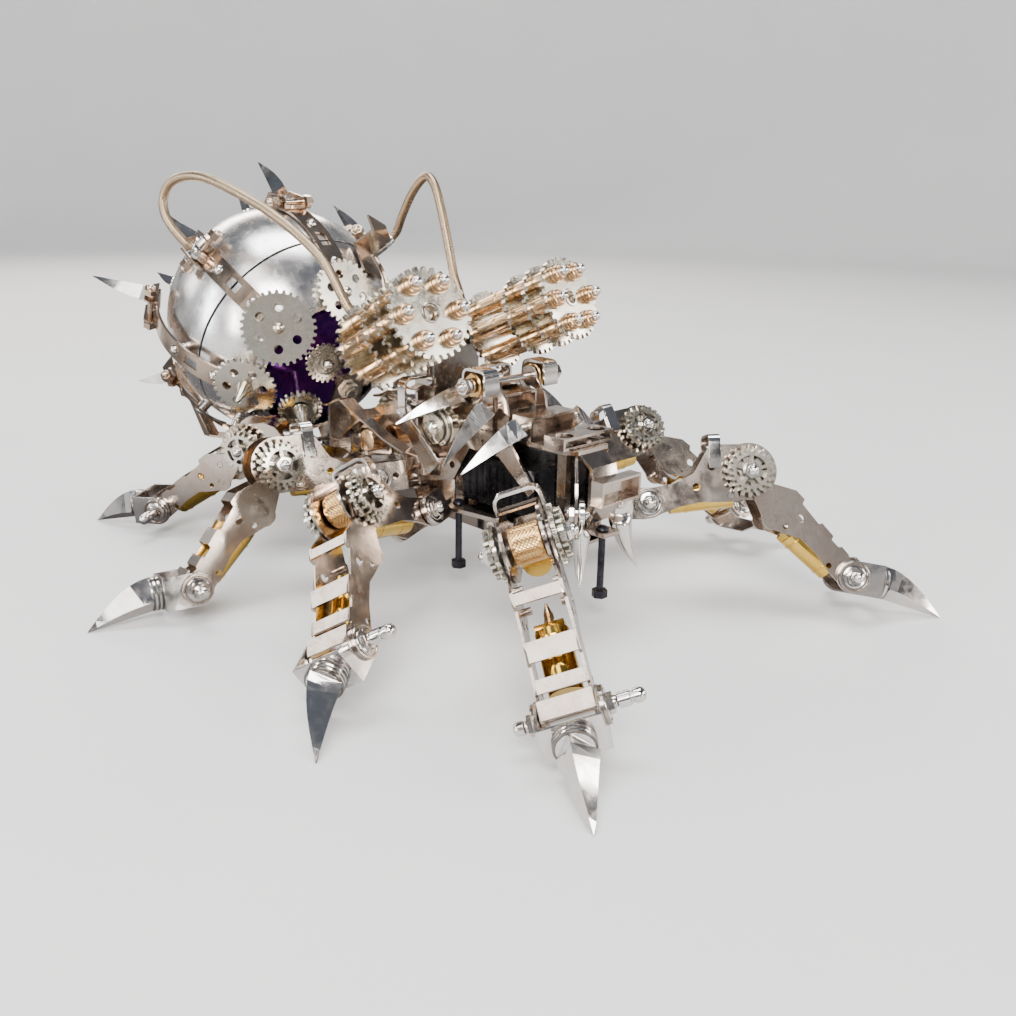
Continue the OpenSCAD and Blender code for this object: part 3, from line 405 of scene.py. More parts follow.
def carve(base, cutter, name):
    """Template mesh: base with cutter taken away."""
    solid = bpy.data.objects.new(name, to_template(base, name))
    tool = bpy.data.objects.new(name + "_tool", to_template(cutter, name + "_tool"))
    for thing in (solid, tool):
        bpy.context.scene.collection.objects.link(thing)
    cut = solid.modifiers.new("cut", "BOOLEAN")
    cut.operation = "DIFFERENCE"
    cut.solver = "EXACT"
    cut.object = tool
    done = bpy.data.meshes.new_from_object(solid.evaluated_get(bpy.context.evaluated_depsgraph_get()))
    done.name = name
    for thing in (solid, tool):
        bpy.data.objects.remove(thing)
    return done


class Kit:
    """Collects copies of template meshes that move together, as one piece."""

    def __init__(self, name, body, slot, bevel=0.06, segments=2):
        self.name, self.body, self.slot = name, body, slot
        self.bevel, self.segments = bevel, segments
        self.bm = bmesh.new()
        self.materials = []

    def add(self, template, matrix, material):
        if material not in self.materials:
            self.materials.append(material)
        number = self.materials.index(material)
        verts, faces = len(self.bm.verts), len(self.bm.faces)
        self.bm.from_mesh(template)
        self.bm.verts.ensure_lookup_table()
        self.bm.faces.ensure_lookup_table()
        for vert in self.bm.verts[verts:]:
            vert.co = matrix @ vert.co
        new_faces = self.bm.faces[faces:]
        for face in new_faces:
            face.material_index = number
        if matrix.determinant() < 0:
            bmesh.ops.reverse_faces(self.bm, faces=new_faces)

    def screw(self, matrix, size=1.0, material=BRIGHT):
        """Cross-head screw on the face at z = 0 of a frame."""
        self.add(PARTS["cross_screw"], matrix @ Matrix.Scale(size, 4), material)

    def done(self, stands_for=()):
        return finish_mesh(self.bm, self.name, self.materials, self.body, self.slot, self.bevel,
                           self.segments, stands_for=stands_for)


def basis(x, y, z, origin):
    matrix = Matrix.Identity(4)
    for i, axis in enumerate((x, y, z)):
        matrix.col[i][:3] = axis
    matrix.translation = origin
    return matrix


def shift(x, y, z):
    return Matrix.Translation(Vector((x, y, z)) * MM)


def turn(degrees, axis):
    return Matrix.Rotation(math.radians(degrees), 4, axis)


def aimed(origin, direction, spin=0.0):
    """Frame whose +z points along a direction."""
    matrix = Vector(direction).to_track_quat("Z", "Y").to_matrix().to_4x4()
    matrix.translation = origin
    return matrix @ turn(spin, "Z")


# ---------- frames of the moving parts ----------

def joint_place(name):
    joint = JOINTS[name]
    return Vector(joint["pos_m"]), Vector(joint["axis"]).normalized()


def limb_frame(origin, toward, axis):
    """x along the limb, y along its hinge axis, z on its upper side."""
    x = (toward - origin).normalized()
    return basis(x, axis, x.cross(axis), origin)


def leg_frames(leg):
    hip, axis = joint_place(leg + "_hip")
    knee, _ = joint_place(leg + "_knee")
    ankle, _ = joint_place(leg + "_ankle")
    corners = (v.co for v in frame["nodes"][leg + "_foot"].data.vertices)
    tip = max(corners, key=lambda p: (p - ankle).length)
    along = Matrix.Rotation(math.radians(-CLAW_BEND), 3, axis) @ (tip - ankle)
    return (limb_frame(hip, knee, axis), limb_frame(knee, ankle, axis),
            limb_frame(ankle, ankle + along, axis))


def ball_place():
    low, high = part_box("ball_rear_shell")
    radius = (high.x - low.x) / 2
    return Vector((0, high.y - radius, high.z - radius)), radius


BALL_CENTRE, BALL_RADIUS = ball_place()
MOUTH_PLANE = math.sqrt((BALL_RADIUS / MM) ** 2 - MOUTH_R ** 2)
# The CAD model is moved along Y and Z as a whole to stand over its origin
CAD_SHIFT = Vector((0, BALL_CENTRE.y / MM - 80, BALL_CENTRE.z / MM - 67))
BALL_FRAME = Matrix.Translation(BALL_CENTRE) @ turn(BALL_TILT - 90, "X")


# ---------- small hardware templates ----------

def dome(radius, height, base=0.0, steps=7):
    return [(radius * math.cos(math.pi / 2 * i / steps), base + height * math.sin(math.pi / 2 * i / steps))
            for i in range(steps)] + [(0, base + height)]


def slab(x, y, z0, z1):
    return prism([(-x, -y), (x, -y), (x, y), (-x, y)], z0, z1)


def cross_tool(arm, width, low, high):
    """The cross cut into a screw's head."""
    bm = slab(arm, width, low, high)
    bm.from_mesh(to_template(slab(width, arm, low, high), "cross_arm"))
    return bm


def hexagon(flats):
    radius = flats / 2 / math.cos(math.pi / 6)
    return [(radius * math.cos(math.pi / 3 * i), radius * math.sin(math.pi / 3 * i)) for i in range(6)]


def make_templates():
    made = {}
    head = lathe([(1.75, 0), (1.95, 0.15)] + dome(1.95, 1.15, 0.3), 36)
    made["cross_screw"] = carve(head, cross_tool(1.05, 0.24, 0.75, 2.0), "cross_screw")
    cap = lathe([(1.8, 0), (1.9, 0.12), (1.9, 1.35), (1.7, 1.6), (0, 1.6)], 36)
    made["socket_screw"] = carve(cap, prism(hexagon(1.9), 0.6, 2.0), "socket_screw")
    made["flange"] = to_template(ring_lathe([(1.15, 0), (3.2, 0), (3.3, 0.15), (3.2, 0.3), (2.9, 0.42),
                                             (1.15, 0.42)]), "flange")
    made["washer_rim"] = to_template(ring_lathe([(3.65, 0), (4.35, 0), (4.4, 0.12), (4.25, 0.3), (3.8, 0.3),
                                                 (3.65, 0.16)]), "washer_rim")
    return made


PARTS = make_templates()


def knurled_roller(radius, half, pitch=0.46, depth=0.13):
    """Roller with diamond knurling raised between two plain rims, about z."""
    bm = bmesh.new()
    around = 2 * round(math.pi * radius / pitch)
    rows = 2 * round(half * 0.84 / pitch)
    rim = half * 0.88
    heights = [-half, -half + 0.25, -rim, -rim] + [rim * (2 * i / rows - 1) for i in range(1, rows)] + \
        [rim, rim, half - 0.25, half]
    radii = [radius - 0.3, radius - 0.06, radius - 0.06, radius - depth] + [None] * (rows - 1) + \
        [radius - depth, radius - 0.06, radius - 0.06, radius - 0.3]
    rings = []
    for k, (height, ring_radius) in enumerate(zip(heights, radii)):
        ring = []
        for j in range(around):
            r = ring_radius if ring_radius is not None else radius - (depth if (k + j) % 2 else 0)
            angle = 2 * math.pi * j / around
            ring.append(bm.verts.new((r * MM * math.cos(angle), r * MM * math.sin(angle), height * MM)))
        rings.append(ring)
    skin(bm, rings)
    bmesh.ops.triangulate(bm, faces=[f for f in bm.faces if len(f.verts) == 4])
    return bm


def bent_strip(path, width, thick, corner=0.0):
    """Sheet strip along (x, y) points in millimetres, as wide as width along z and centred on z = 0."""
    points = [Vector(p) for p in path]
    if corner:
        rounded = [points[0]]
        for a, b, c in zip(points, points[1:], points[2:]):
            into, out = (a - b).normalized(), (c - b).normalized()
            reach = min(corner, (a - b).length * 0.45, (c - b).length * 0.45)
            for i in range(6):
                t = i / 5
                p, q = b + into * reach, b + out * reach
                rounded.append(p * (1 - t) ** 2 + b * 2 * t * (1 - t) + q * t * t)
        points = rounded + [points[-1]]
    normals = []
    for i, p in enumerate(points):
        before = points[max(i - 1, 0)]
        after = points[min(i + 1, len(points) - 1)]
        along = (after - before).normalized()
        normals.append(Vector((-along.y, along.x)))
    bm = bmesh.new()
    rings = []
    for p, n in zip(points, normals):
        corners = [(p + n * thick / 2, width / 2), (p + n * thick / 2, -width / 2),
                   (p - n * thick / 2, -width / 2), (p - n * thick / 2, width / 2)]
        rings.append([bm.verts.new((q.x * MM, q.y * MM, z * MM)) for q, z in corners])
    skin(bm, rings)
    bmesh.ops.recalc_face_normals(bm, faces=bm.faces)
    return bm


# ---------- legs ----------

def femur_choice(low, high):
    """0 plates, 1 gears, 2 bolt."""
    size = high - low
    if size.x > 20:
        return 0
    return 1 if size.y < 2 and size.x > 6 else 2


def plate_face(at, x, out, z, side):
    """Frame on the outer face of a limb's side plate: +z points outwards."""
    return at @ shift(x, side * out, z) @ turn(-90 * side, "X")


def pivot_trim(kit, at, out):
    """Washer rings on both ends of a hinge bolt."""
    for side in (1, -1):
        kit.add(PARTS["washer_rim"], plate_face(at, 0, out, 0, side), PLATE)
        kit.add(PARTS["flange"], plate_face(at, 0, out, 0, side), BRIGHT)


def fill_out(bm, at, start, centre, slope, scale, lift):
    """Makes the part of a leg's tube beyond start thicker about its own axis, and lifts it."""
    inverse = at.inverted()
    for vert in bm.verts:
        p = inverse @ vert.co / MM
        if p.x > start:
            axis = centre + slope * p.x
            vert.co = at @ (Vector((p.x, p.y * scale, axis + lift + (p.z - axis) * scale)) * MM)


def femur_pieces(leg, at):
    body = leg + "_thigh"
    refine(leg + "_femur", body, "plate_steel", [PLATE, GEAR, BRIGHT], femur_choice, 0.14, 2, at)
    bm = cad_mesh(leg + "_femur_tube")
    roller = [f for solid in solids(bm) if extent(solid, at)[0].x > 20 for f in solid]
    bmesh.ops.delete(bm, geom=roller, context="FACES")
    fill_out(bm, at, *THIGH_TUBE)
    finish_mesh(bm, leg + "_femur_tube.look", [BRASS], body, "brass", 0.2, 3,
                stands_for=[leg + "_femur_tube"])
    kit = Kit(leg + "_knee_trim", body, "copper", 0.0)
    knee = at @ shift(30, 0, 0)
    kit.add(ROLLER, knee @ turn(90, "X"), KNURL)
    kit.done()
    trim = Kit(leg + "_thigh_trim", body, "fastener_steel", 0.05)
    for side in (1, -1):
        for x, z in ((8, -2.0), (23, -5.0)):
            trim.screw(plate_face(at, x, FEMUR_OUT + 0.02, z, side), 0.72)
    if not leg.startswith("rear"):
        trim.add(STIRRUP, at @ shift(23.6, 0, 12.0) @ turn(16, "Y"), BRIGHT)
    trim.add(INNER_STRIP, at @ shift(23.2, 0, 8.9) @ turn(16, "Y"), WARM)
    for y in (-2.2, 0.0, 2.2):
        trim.screw(at @ shift(23.1, y, 9.2) @ turn(16, "Y"), 0.4)
    trim.add(TUBE_BAND, at @ shift(11, 0, -2.3) @ turn(90 + 11.3, "Y"), BRASS)
    trim.add(TUBE_BAND, at @ shift(20.2, 0, -4.15) @ turn(90 + 11.3, "Y"), BRASS)
    trim.done()


def tibia_choice(low, high):
    """0 plates, 1 screws."""
    return 0 if high.x - low.x > 15 else 1


def tibia_pieces(leg, at):
    body = leg + "_shin"
    refine(leg + "_tibia", body, "plate_steel", [PLATE, BRIGHT], tibia_choice, 0.14, 2, at,
           drop=lambda low, high: high.x - low.x < 5)
    bm = cad_mesh(leg + "_tibia_tube")
    inverse = at.inverted()
    for face in bm.faces:
        x = (inverse @ face.calc_center_median()).x / MM
        face.material_index = 0 if x > 19.9 else 1
    fill_out(bm, at, *SHIN_TUBE)
    finish_mesh(bm, leg + "_tibia_tube.look", [BRASS, BRIGHT], body, "brass", 0.15, 3,
                stands_for=[leg + "_tibia_tube"])
    trim = Kit(leg + "_shin_trim", body, "fastener_steel", 0.05)
    for side in (1, -1):
        for x, z in SHIN_SCREWS:
            face = plate_face(at, x, TIBIA_OUT + 0.02, z, side)
            trim.screw(face @ turn(25 * side + x, "Z"))
            trim.add(SHANK, face @ shift(0, 0, -2.6), PLATE)
        for x, z in TUBE_SCREWS:
            trim.screw(plate_face(at, x, TIBIA_OUT + 0.02, z, side), 0.6)
    trim.add(TUBE_BAND_SMALL, at @ shift(24.0, 0, -2.5) @ turn(90 - 3.5, "Y"), BRASS)
    trim.add(TUBE_BAND_SMALL, at @ shift(34.5, 0, -1.83) @ turn(90 - 3.5, "Y"), BRASS)
    trim.add(ANKLE_BAND, at @ shift(41.0, 0, 0), PLATE)
    trim.done()


def foot_choice(low, high):
    """0 washers, 1 claw, 2 bolt."""
    if high.x > 15:
        return 1
    return 0 if high.y - low.y < 1 else 2


def foot_pieces(leg, at):
    body = leg + "_claw"
    refine(leg + "_foot", body, "claw_steel", [PLATE, CLAW, BRIGHT], foot_choice, 0.2, 2, at)
    trim = Kit(leg + "_ankle_trim", body, "fastener_steel", 0.05)
    pivot_trim(trim, at, FOOT_OUT + 0.65)
    trim.add(LONG_BOLT, at @ shift(0, FOOT_OUT + 3.4, 0) @ turn(-90, "X"), BRIGHT)
    trim.add(SHORT_BOLT, at @ shift(0, -FOOT_OUT - 3.4, 0) @ turn(90, "X"), BRIGHT)
    for x in (9.0, 10.1, 11.2):
        trim.add(HUB_RING, at @ shift(x, 0, 0) @ turn(90, "Y"), DARK)
    trim.done()


def crowned_ring(name, inner, rim, crown, half, sides=40):
    """Ring about z whose outside bulges from rim to crown."""
    profile = [(inner, -half), (rim, -half), (crown, 0), (rim, half), (inner, half)]
    return to_template(ring_lathe(profile, sides), name)


def stirrup():
    """Loop that bridges the two thigh plates over the knee roller; its own frame has y across."""
    out = FEMUR_OUT + 0.55
    loop = bent_strip([(-out, -8.5), (-out, 1.0), (out, 1.0), (out, -8.5)], 3.4, 0.8, 2.6)
    loop.transform(UPRIGHT)
    return to_template(loop, "stirrup")


ROLLER = to_template(knurled_roller(ROLLER_R, ROLLER_HALF), "roller")
SHANK = to_template(lathe([(0.98, 0), (0.98, 2.5)], 20), "shank")
TUBE_BAND = crowned_ring("tube_band", 3.5, 3.76, 3.84, 0.3)
TUBE_BAND_SMALL = crowned_ring("tube_band_small", 3.8, 4.15, 4.25, 0.3)
HUB_RING = crowned_ring("hub_ring", 4.1, 4.72, 4.86, 0.28, 44)
STIRRUP = stirrup()
INNER_STRIP = to_template(slab(1.3, 4.4, -0.3, 0.3), "inner_strip")
ANKLE_BAND = to_template(slab(2.2, TIBIA_OUT, 4.2, 4.8), "ankle_band")
LONG_BOLT = to_template(lathe([(1.75, 0), (1.75, 2.6), (1.35, 2.8), (1.35, 3.5), (1.7, 3.65), (1.7, 4.6)]
                              + dome(1.7, 1.5, 4.7), 32), "long_bolt")
SHORT_BOLT = to_template(lathe([(1.6, 0), (1.6, 1.2)] + dome(1.6, 1.3, 1.3), 32), "short_bolt")

for side_name in SIDES:
    for leg_name in LEGS:
        leg = leg_name + "_" + side_name
        thigh, shin, claw = leg_frames(leg)
        femur_pieces(leg, thigh)
        tibia_pieces(leg, shin)
        foot_pieces(leg, claw)


# ---------- trunk ----------

def fastener_choice(low, high):
    """0 bright nuts and washers, 1 black hanging bolts, 2 dark posts."""
    size = high - low
    if size.z > 17 and low.z < 12:
        return 1
    return 2 if size.z > 17 else 0


def deck_choice(low, high):
    """0 plates, 1 gears, 2 axle."""
    if low.z < AXLE_FLOOR:
        return 0
    return 1 if high.x - low.x < 2 else 2


def deck_left_out(low, high):
    """The axle's plain rollers and outer gears: the head's trim stands there instead."""
    return low.z > AXLE_FLOOR and (6 < high.x - low.x < 7 or abs(low.x + high.x) > 30)


def strap_choice(low, high):
    """0 straps, 1 screws and clevises."""
    return 0 if (high - low).length > 16 else 1


def gear_choice(low, high):
    """0 toothed wheels, 1 screws and cones."""
    return 0 if (high - low).length > 11 else 1


def hip_trim():
    kit = Kit("hip_trim", "trunk", "fastener_steel", 0.05)
    for side in SIDES:
        for leg_name in LEGS:
            pivot_trim(kit, leg_frames(leg_name + "_" + side)[0], TIBIA_OUT + 0.75)
    kit.done()


def core_paint(middle, _):
    """Steel where the spindle stands out of the ball, blue inside it."""
    outside = middle.z < -MOUTH_PLANE - 2.0 or middle.z > BALL_RADIUS / MM
    return 1 if outside else 0


def trunk_pieces():
    for node in ("chassis_deck", "coxa_brackets"):
        refine(node, "trunk", "plate_steel", [PLATE], None, 0.15)
    refine("chassis_fasteners", "trunk", "fastener_steel", [BRIGHT, BLACK, DARK], fastener_choice)
    refine("upper_deck", "trunk", "plate_steel", [PLATE, GEAR, BRIGHT], deck_choice, drop=deck_left_out)
    refine("armour_ribs", "trunk", "polished_steel", [PLATE], None, 0.22, 3)
    refine("gearbox", "trunk", "black", [BLACK], None, 0.2)
    refine("spike_claws", "trunk", "claw_steel", [CLAW], None, 0.2)
    refine("gun_yoke", "trunk", "plate_steel", [DARK], None, 0.2)
    refine("cage_straps", "trunk", "warm_steel", [WARM, BRIGHT], strap_choice)
    refine("ball_gears", "trunk", "gear_steel", [GEAR, BRIGHT], gear_choice, 0.1)
    refine("ball_core", "trunk", "blue_core", [BLUE, GEAR], None, 0.15, 2, BALL_FRAME, paint=core_paint)
    for side in SIDES:
        fang(side)


def fang(side):
    """Hanging claw with the CAD blade's outline and a full body, and its flat eye round the bolt."""
    place, _ = joint_place(side + "_fang_swing")
    across = Vector((1, 1, 0)).normalized()
    outward = Vector((1, -1, 0)).normalized()
    at = basis(outward, across, Vector((0, 0, 1)), Vector((abs(place.x), place.y, place.z)))
    bm = bmesh.new()
    rings = []
    steps, sides = 26, 20
    for k in range(steps + 1):
        t = k / steps
        back = -3.4 + 9.4 * t * t
        front = 3.9 + 2.1 * t - 0.9 * math.sin(math.pi * t)
        height = -1.0 - 18.5 * t
        half = max((front - back) / 2, 0.05)
        swell = 0.8 + 2.6 * min(1, max(0, t - 0.14) / 0.12)
        thick = swell * (1 - 0.8 * t) * min(1, 6 * (1 - t)) + 0.03
        rings.append([])
        for j in range(sides):
            a = 2 * math.pi * j / sides
            x = (front + back) / 2 + half * math.cos(a)
            y = thick * math.sin(a) * abs(math.sin(a)) ** 0.25
            rings[-1].append(bm.verts.new(at @ (Vector((x, y, height)) * MM)))
    skin(bm, rings)
    bmesh.ops.recalc_face_normals(bm, faces=bm.faces)
    eye = ring_lathe([(1.08, -0.8), (3.4, -0.8), (3.6, -0.6), (3.6, 0.6), (3.4, 0.8), (1.08, 0.8)], 40)
    eye.transform(at @ turn(90, "X"))
    bm.from_mesh(to_template(eye, "fang_eye"))
    if side == "right":
        bm.transform(MIRROR)
        bmesh.ops.reverse_faces(bm, faces=bm.faces)
    finish_mesh(bm, side + "_fang.look", [CLAW], side + "_fang", "claw_steel", 0, 2, 40,
                stands_for=[side + "_fang"])


def shell_zone(name, top, bottom, node):
    """Zone of the hollow ball between two heights along its axis, in millimetres, with turned-in rims."""
    outer = BALL_RADIUS / MM
    inner = outer - SHELL
    steps = 40

    def arc(radius, high, low):
        start, end = math.asin(high / radius), math.asin(max(low, -radius) / radius)
        return [(radius * math.cos(a), radius * math.sin(a))
                for a in (start + (end - start) * i / steps for i in range(steps + 1))]

    section = arc(outer, top, bottom) + list(reversed(arc(inner, min(top, inner - 0.02), bottom)))
    bm = ring_lathe(section, 128)
    bm.transform(BALL_FRAME)
    finish_mesh(bm, name, [BALL], "trunk", "polished_steel", 0.12, 2, 30, stands_for=[node])


def ball_shells():
    shell_zone("ball_front", -SEAM - SEAM_GAP, -MOUTH_PLANE, "ball_front_shell")
    shell_zone("ball_rear", math.sqrt((BALL_RADIUS / MM) ** 2 - SPINDLE_HOLE ** 2), -SEAM, "ball_rear_shell")


# Routes of the two bent tubes, as in the CAD model
RIGHT_ROUTE = ((-21, 3.73, 75.42), (-22, 7, 79), (-23, 10, 83), (-24, 18, 93.5), (-26, 28, 101),
               (-29, 39, 107.5), (-32, 49, 112), (-35, 58, 115.5), (-37, 66, 117.3), (-39, 73.5, 117),
               (-40.6, 79.3, 114.6), (-41.8, 81.5, 110), (-42.2, 80.5, 105.5), (-41.4, 77.3, 101),
               (-39.3, 74.2, 96.9), (-38, 73.6, 95.1), (-35.5, 74, 93.2))
LEFT_ROUTE = ((21, 3.73, 75.42), (22.3, 8, 79.5), (24, 12, 83.5), (25.2, 15.5, 88), (27, 20.5, 98),
              (28.5, 25.5, 108), (29.4, 29.5, 115), (30, 34, 118.3), (30.2, 38.5, 116.5), (30.2, 43.5, 111.5),
              (31, 49.5, 104.2), (32.6, 54, 99.6), (31.9, 56.3, 97), (29.6, 58, 94.8))


def route_points(route, steps):
    """Points along a smooth line through the route."""
    points = [Vector(p) + CAD_SHIFT for p in route]
    made = []
    last = len(points) - 1
    for k in range(steps + 1):
        t = k / steps * last
        i = min(int(t), last - 1)
        f = t - i
        a, b, c, d = points[max(i - 1, 0)], points[i], points[i + 1], points[min(i + 2, last)]
        made.append(0.5 * (2 * b + (c - a) * f + (2 * a - 5 * b + 4 * c - d) * f * f
                           + (3 * b - a - 3 * c + d) * f ** 3))
    return made


def hose(bm, route, radius=1.5, pitch=0.62, sides=16):
    """Tube wound from round wire: its radius swells once per turn."""
    centres = route_points(route, 400)
    lengths = [0.0]
    for a, b in zip(centres, centres[1:]):
        lengths.append(lengths[-1] + (b - a).length)
    step = pitch / 4
    count = int(lengths[-1] / step)
    rings, i, up = [], 0, Vector((1, 0.2, 0))
    for k in range(count + 1):
        s = min(k * step, lengths[-1])
        while i < len(centres) - 2 and lengths[i + 1] < s:
            i += 1
        share = (s - lengths[i]) / max(lengths[i + 1] - lengths[i], 1e-9)
        centre = centres[i].lerp(centres[i + 1], share)
        along = (centres[min(i + 2, len(centres) - 1)] - centres[max(i - 1, 0)]).normalized()
        u = along.cross(up).normalized()
        v = along.cross(u)
        swell = radius - (0.0, 0.02, 0.07, 0.02)[k % 4]
        rings.append([bm.verts.new((centre + swell * (math.cos(2 * math.pi * j / sides) * u
                                                      + math.sin(2 * math.pi * j / sides) * v)) * MM)
                      for j in range(sides)])
    skin(bm, rings)


def hoses():
    bm = bmesh.new()
    for route in (RIGHT_ROUTE, LEFT_ROUTE):
        hose(bm, route)
    bmesh.ops.recalc_face_normals(bm, faces=bm.faces)
    finish_mesh(bm, "wound_hoses", [HOSE], "trunk", "hose_steel", 0, 2, 60, stands_for=["hoses"])
    profile = [(1.3, -0.2), (2.1, -0.2), (2.2, 0.1), (1.95, 0.5), (2.2, 0.9), (1.95, 1.3), (2.2, 1.7),
               (1.9, 2.2), (1.75, 3.6), (1.3, 3.6)]
    ferrule = to_template(ring_lathe(profile, 28), "ferrule")
    kit = Kit("hose_ferrules", "trunk", "fastener_steel", 0.04)
    for route in (RIGHT_ROUTE, LEFT_ROUTE):
        points = route_points(route, 60)
        kit.add(ferrule, aimed(points[0] * MM, points[1] - points[0]), BRIGHT)
        kit.add(ferrule, aimed(points[-1] * MM, points[-3] - points[-1]), BRIGHT)
    kit.done()


def worn_teeth(corner):
    """Corners of a gun disc's teeth, moved in a little."""
    radius = math.hypot(corner.x, corner.y)
    if radius < 11.9:
        return corner
    scale = (radius - 0.8) / radius
    return Vector((corner.x * scale, corner.y * scale, corner.z))


def first_barrel_angle(side, at):
    bm = cad_mesh(side + "_gun_barrels")
    low, high = extent(next(solids(bm)), at)
    bm.free()
    return math.degrees(math.atan2(low.y + high.y, low.x + high.x))


def gun_pieces(side):
    body = side + "_gun"
    place, axis = joint_place(side + "_gun_spin")
    at = aimed(place, axis)
    refine(side + "_gun_discs", body, "gear_steel", [GEAR, BRIGHT],
           lambda low, high: 0 if (high - low).length > 8 else 1, 0.1, 2, at,
           drop=lambda low, high: low.z > 3, reshape=worn_teeth)
    start = first_barrel_angle(side, at)
    barrels = Kit(side + "_gun_barrels.look", body, "copper", 0.06)
    kit = Kit(side + "_gun_trim", body, "copper", 0.05)
    for i in range(6):
        barrel = at @ turn(start + 60 * i, "Z") @ shift(BARREL_CIRCLE, 0, 0)
        barrels.add(BARREL, barrel, COPPER)
        for z in (-7.4, -15.4, -31.4, -22.5):
            kit.add(BARREL_BAND, barrel @ shift(0, 0, z), COPPER)
        kit.add(MUZZLE_NUT, barrel @ shift(0, 0, 3.1), BRIGHT)
    kit.add(CENTRE_RING, at @ shift(0, 0, 0.02), BRIGHT)
    barrels.done([side + "_gun_barrels"])
    kit.done()


BARREL = to_template(lathe([(2.1, -33), (2.4, -32.7), (2.4, 0), (2.7, 0.02), (2.75, 0.3), (2.7, 0.9),
                            (2.2, 1.0), (2.2, 1.35), (2.45, 1.45), (2.5, 1.75), (2.45, 2.35), (2.1, 2.5),
                            (2.1, 3.0), (1.9, 3.2), (1.0, 3.2)], 40), "barrel")
MUZZLE_NUT = to_template(lathe([(1.45, 0), (1.45, 0.8)] + dome(1.4, 1.2, 0.9), 32), "muzzle_nut")
BARREL_BAND = crowned_ring("barrel_band", 2.3, 2.6, 2.66, 0.3, 36)
CENTRE_RING = to_template(ring_lathe([(1.95, -0.1), (2.7, -0.1), (2.8, 0.15), (2.6, 0.4), (2.1, 0.4)]),
                          "centre_ring")


def sided(x, y, z, side):
    """Frame at a CAD place on one side of the spider, mirrored so that +x points outwards."""
    place = Matrix.Translation((Vector((x, y, z)) + CAD_SHIFT) * MM)
    return place if side == "left" else MIRROR @ place


def head_trim():
    """Knurled rollers in bright loops and ringed ends on the head's axle, and a turned drum on each side."""
    axle_y, axle_z = -37.7, 64.2
    roller = to_template(knurled_roller(3.4, 3.25), "head_roller")
    arch = bent_strip([(-4.4, -2.6), (-4.2, 4.1), (4.2, 4.1), (4.6, -0.5)], 5.6, 0.75, 1.9)
    arch.transform(UPRIGHT)
    arch = to_template(arch, "axle_arch")
    collar = [(1.9, 15.6), (2.1, 15.7), (2.1, 16.2), (1.5, 16.3), (1.5, 16.6), (2.0, 16.7), (2.0, 17.2),
              (1.5, 17.3), (1.5, 17.6), (1.9, 17.7), (1.9, 18.2)]
    axle_end = to_template(lathe(collar + dome(1.6, 1.0, 18.3), 36), "axle_end")
    turned = [(2.2, -5.6), (2.2, -0.1), (5.9, 0), (6.1, 0.3), (6.1, 2.5), (5.9, 2.8), (5.3, 2.8), (5.3, 3.3),
              (5.6, 3.4), (5.6, 4.0), (4.1, 4.2), (4.1, 4.7), (4.5, 4.8), (4.5, 5.3), (2.6, 5.5), (2.6, 6.0),
              (2.2, 6.6), (1.2, 7.0), (0, 7.1)]
    drum = to_template(lathe(turned, 48), "turned_drum")
    kit = Kit("head_trim", "trunk", "copper", 0.05)
    for side in SIDES:
        kit.add(roller, sided(11.9, axle_y, axle_z, side) @ turn(90, "Y"), KNURL)
        kit.add(arch, sided(11.9, axle_y, axle_z, side), BRIGHT)
        kit.add(axle_end, sided(0, axle_y, axle_z, side) @ turn(90, "Y"), BRIGHT)
        kit.add(drum, sided(12.9, -24.0, 49.8, side) @ turn(90, "Y"), GEAR)
    kit.done()


